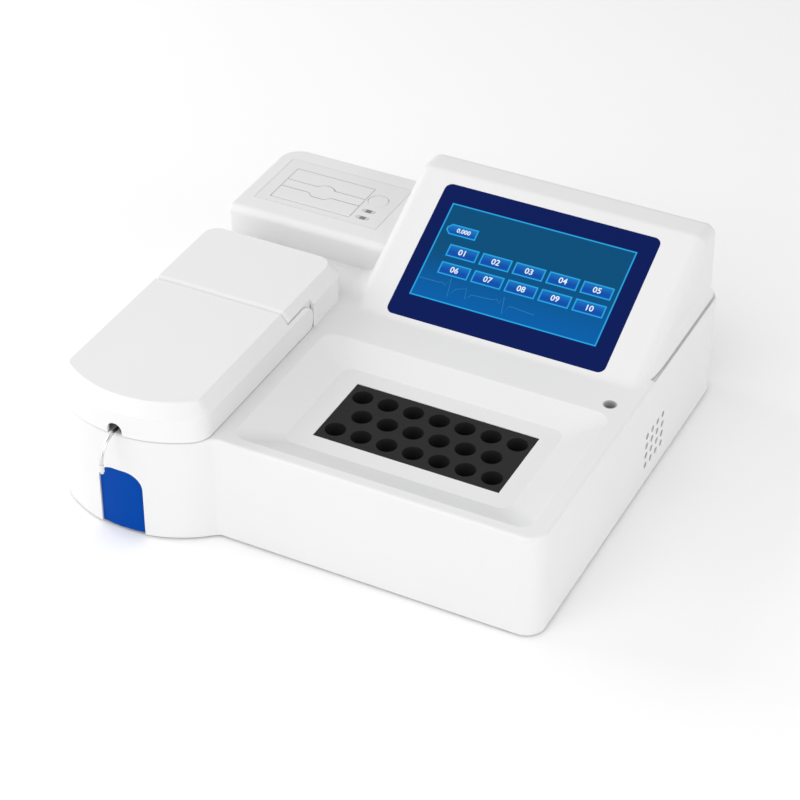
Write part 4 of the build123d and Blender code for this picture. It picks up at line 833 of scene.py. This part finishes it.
class PHOTOMETER_OT_fasteners(bpy.types.Operator):
    """Makes the screws and the rubber feet, and finishes the base plate"""

    bl_idname = "photometer.fasteners"
    bl_label = "Screws, feet and base"

    def execute(self, context):
        fittings = context.scene.photometer_fittings
        paint(metal("Base plate zinc", tuple(fittings.zinc), 0.4, (60, 1200, 1200)), "base_plate")
        feet = [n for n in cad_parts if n.startswith("foot_")]
        form = bmesh.new()
        for foot in feet:
            low, high = (Vector(v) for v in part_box(foot))
            centre = middle(foot)
            radius, tall = (high.x - low.x) / 2, high.z - low.z
            cut = fittings.foot_groove
            profile = [(0, 0.5 * MM), (radius * 0.45, 0.5 * MM), (radius * 0.5, 0), (radius * 0.9, 0),
                       (radius * 0.97, 0.2 * MM), (radius, 0.6 * MM), (radius, tall * 0.45),
                       (radius - cut, tall * 0.5), (radius - cut, tall * 0.62),
                       (radius, tall * 0.68), (radius, tall), (0, tall)]
            turned(form, profile, (centre.x, centre.y, low.z), (0, 0, 1), steps=56)
        rubber = moulded("Foot rubber", tuple(fittings.rubber), 0.85, 0.0007, 0.35, shade=0.2)
        mesh_object("rubber_feet", form, CASE, rubber, feet)

        form = bmesh.new()
        for at, axis in screw_places():
            screw(form, at, axis)
        mesh_object("cross_screws", form, CASE,
                    metal("Screw zinc", tuple(fittings.steel), 0.3, (800, 800, 800)),
                    ["case_screws"])
        return {"FINISHED"}


def screw_places():
    """Where each screw's head sits and which way its head faces, from the loose parts of the node."""
    form = bmesh.new()
    form.from_mesh(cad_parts["case_screws"].data)
    bmesh.ops.remove_doubles(form, verts=form.verts, dist=1e-6)
    places, seen = [], set()
    for first in form.verts:
        if first in seen:
            continue
        island, edge = {first}, [first]
        while edge:
            for link in edge.pop().link_edges:
                for vert in link.verts:
                    if vert not in island:
                        island.add(vert)
                        edge.append(vert)
        seen |= island
        low = Vector([min(v.co[k] for v in island) for k in range(3)])
        high = Vector([max(v.co[k] for v in island) for k in range(3)])
        centre = (low + high) / 2
        if high.z - low.z > high.y - low.y:
            places.append((Vector((centre.x, centre.y, low.z)), Vector((0, 0, -1))))
        else:
            places.append((Vector((centre.x, high.y, centre.z)), Vector((0, 1, 0))))
    form.free()
    return places


def screw(form, top, outward, head=2.75 * MM, high=1.6 * MM, shank=1.15 * MM, length=8.0 * MM):
    """Adds a pan-head screw with a cross recess and a stepped thread."""
    thread = []
    pitch = 0.5 * MM
    for k in range(int(length / pitch)):
        depth = high + k * pitch
        thread += [(shank, -depth), (shank * 0.8, -depth - pitch / 2)]
    profile = [(0, -high - length)] + [(r, h) for r, h in reversed(thread)]
    profile += [(head, -high), (head, -high * 0.45), (head * 0.86, -high * 0.12),
                (head * 0.62, 0), (head * 0.5, 0), (head * 0.3, -high * 0.18), (0, -high * 0.18)]
    turned(form, profile, top, outward, steps=32)
    across = outward.orthogonal().normalized()
    for way in (across, outward.cross(across)):
        side = outward.cross(way)
        corners = []
        for a, b in ((-1, -1), (1, -1), (1, 1), (-1, 1)):
            corners.append(form.verts.new(
                top + way * a * head * 0.5 + side * b * head * 0.09 - outward * high * 0.1))
        form.faces.new(corners)


class PHOTOMETER_OT_stage(bpy.types.Operator):
    """Makes the floor, the soft lights and the camera"""

    bl_idname = "photometer.stage"
    bl_label = "Studio"

    def execute(self, context):
        look = context.scene.photometer_stage
        scene = context.scene
        form = bmesh.new()
        bmesh.ops.create_grid(form, x_segments=1, y_segments=1, size=12.0)
        data = bpy.data.meshes.new("floor")
        form.to_mesh(data)
        form.free()
        floor = bpy.data.objects.new("floor", data)
        scene.collection.objects.link(floor)
        material, tree, shader = new_material("Floor", tuple(look.floor), 0.7)
        noise = add_node(tree, "ShaderNodeTexNoise", {"Scale": 2.0})
        tone = blend_colours(tree, noise.outputs[0], tuple(c * 0.995 for c in look.floor),
                             tuple(look.floor))
        tree.links.new(tone, shader.inputs["Base Color"])
        data.materials.append(material)

        scene.world = bpy.data.worlds.new("Studio")
        scene.world.use_nodes = True
        background = scene.world.node_tree.nodes["Background"]
        background.inputs["Color"].default_value = (1, 1, 1, 1)
        background.inputs["Strength"].default_value = look.world
        for name, power, size, at in (
            ("key_low", look.key, 1.6, (-0.9, -1.9, 0.7)),
            ("key_high", look.key * 0.80, 1.6, (-0.2, -1.6, 1.9)),
            ("fill_right", look.fill, 1.3, (1.9, -0.5, 0.8)),
            ("fill_left", look.left, 1.3, (-1.9, 0.0, 0.9)),
        ):
            lamp = bpy.data.lights.new(name, "AREA")
            lamp.energy, lamp.size = power, size
            holder = bpy.data.objects.new(name, lamp)
            holder.location = at
            holder.rotation_mode = "QUATERNION"
            holder.rotation_quaternion = (Vector((0, 0, 0.05)) - Vector(at)).to_track_quat("-Z", "Y")
            scene.collection.objects.link(holder)
        scene.view_settings.view_transform = "Standard"
        scene.view_settings.look = "None"
        self.add_camera(scene, look)
        return {"FINISHED"}

    def add_camera(self, scene, look):
        """Stands the camera so that it sees the object from its front right and above."""
        a, e, r = look.azimuth, look.elevation, look.roll
        back = Vector((math.sin(a) * math.cos(e), -math.cos(a) * math.cos(e), math.sin(e)))
        level = Vector((math.cos(a), math.sin(a), 0))
        over = back.cross(level)
        right = math.cos(r) * level + math.sin(r) * over
        up = -math.sin(r) * level + math.cos(r) * over
        data = bpy.data.cameras.new("camera")
        data.sensor_width, data.lens = 36.0, look.lens
        data.clip_end = 50
        camera = bpy.data.objects.new("camera", data)
        turn = Matrix((right, up, back)).transposed().to_4x4()
        camera.matrix_world = Matrix.Translation(CAMERA_PLACE) @ turn
        scene.collection.objects.link(camera)
        scene.camera = camera


OPERATORS = (
    PHOTOMETER_OT_shell, PHOTOMETER_OT_seam_shade, PHOTOMETER_OT_printer, PHOTOMETER_OT_screen,
    PHOTOMETER_OT_incubator, PHOTOMETER_OT_sampling, PHOTOMETER_OT_optics, PHOTOMETER_OT_rear,
    PHOTOMETER_OT_fasteners, PHOTOMETER_OT_stage,
)


class PHOTOMETER_PT_panel(bpy.types.Panel):
    """Lists the photometer's pieces and their settings"""

    bl_label = "Photometer"
    bl_idname = "PHOTOMETER_PT_panel"
    bl_space_type = "VIEW_3D"
    bl_region_type = "UI"
    bl_category = "Photometer"

    def draw(self, context):
        for name, kind in SETTINGS.items():
            box = self.layout.box()
            for key in kind.__annotations__:
                box.prop(getattr(context.scene, name), key)
        for operator in OPERATORS:
            self.layout.operator(operator.bl_idname)


def register():
    for kind in (*SETTINGS.values(), *OPERATORS, PHOTOMETER_PT_panel):
        bpy.utils.register_class(kind)
    for name, kind in SETTINGS.items():
        setattr(bpy.types.Scene, name, PointerProperty(type=kind))


def unregister():
    for name in SETTINGS:
        delattr(bpy.types.Scene, name)
    for kind in reversed((*SETTINGS.values(), *OPERATORS, PHOTOMETER_PT_panel)):
        bpy.utils.unregister_class(kind)


def main():
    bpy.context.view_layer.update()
    register()
    for operator in OPERATORS:
        place, name = operator.bl_idname.split(".")
        getattr(getattr(bpy.ops, place), name)()


if __name__ == "__main__":
    main()
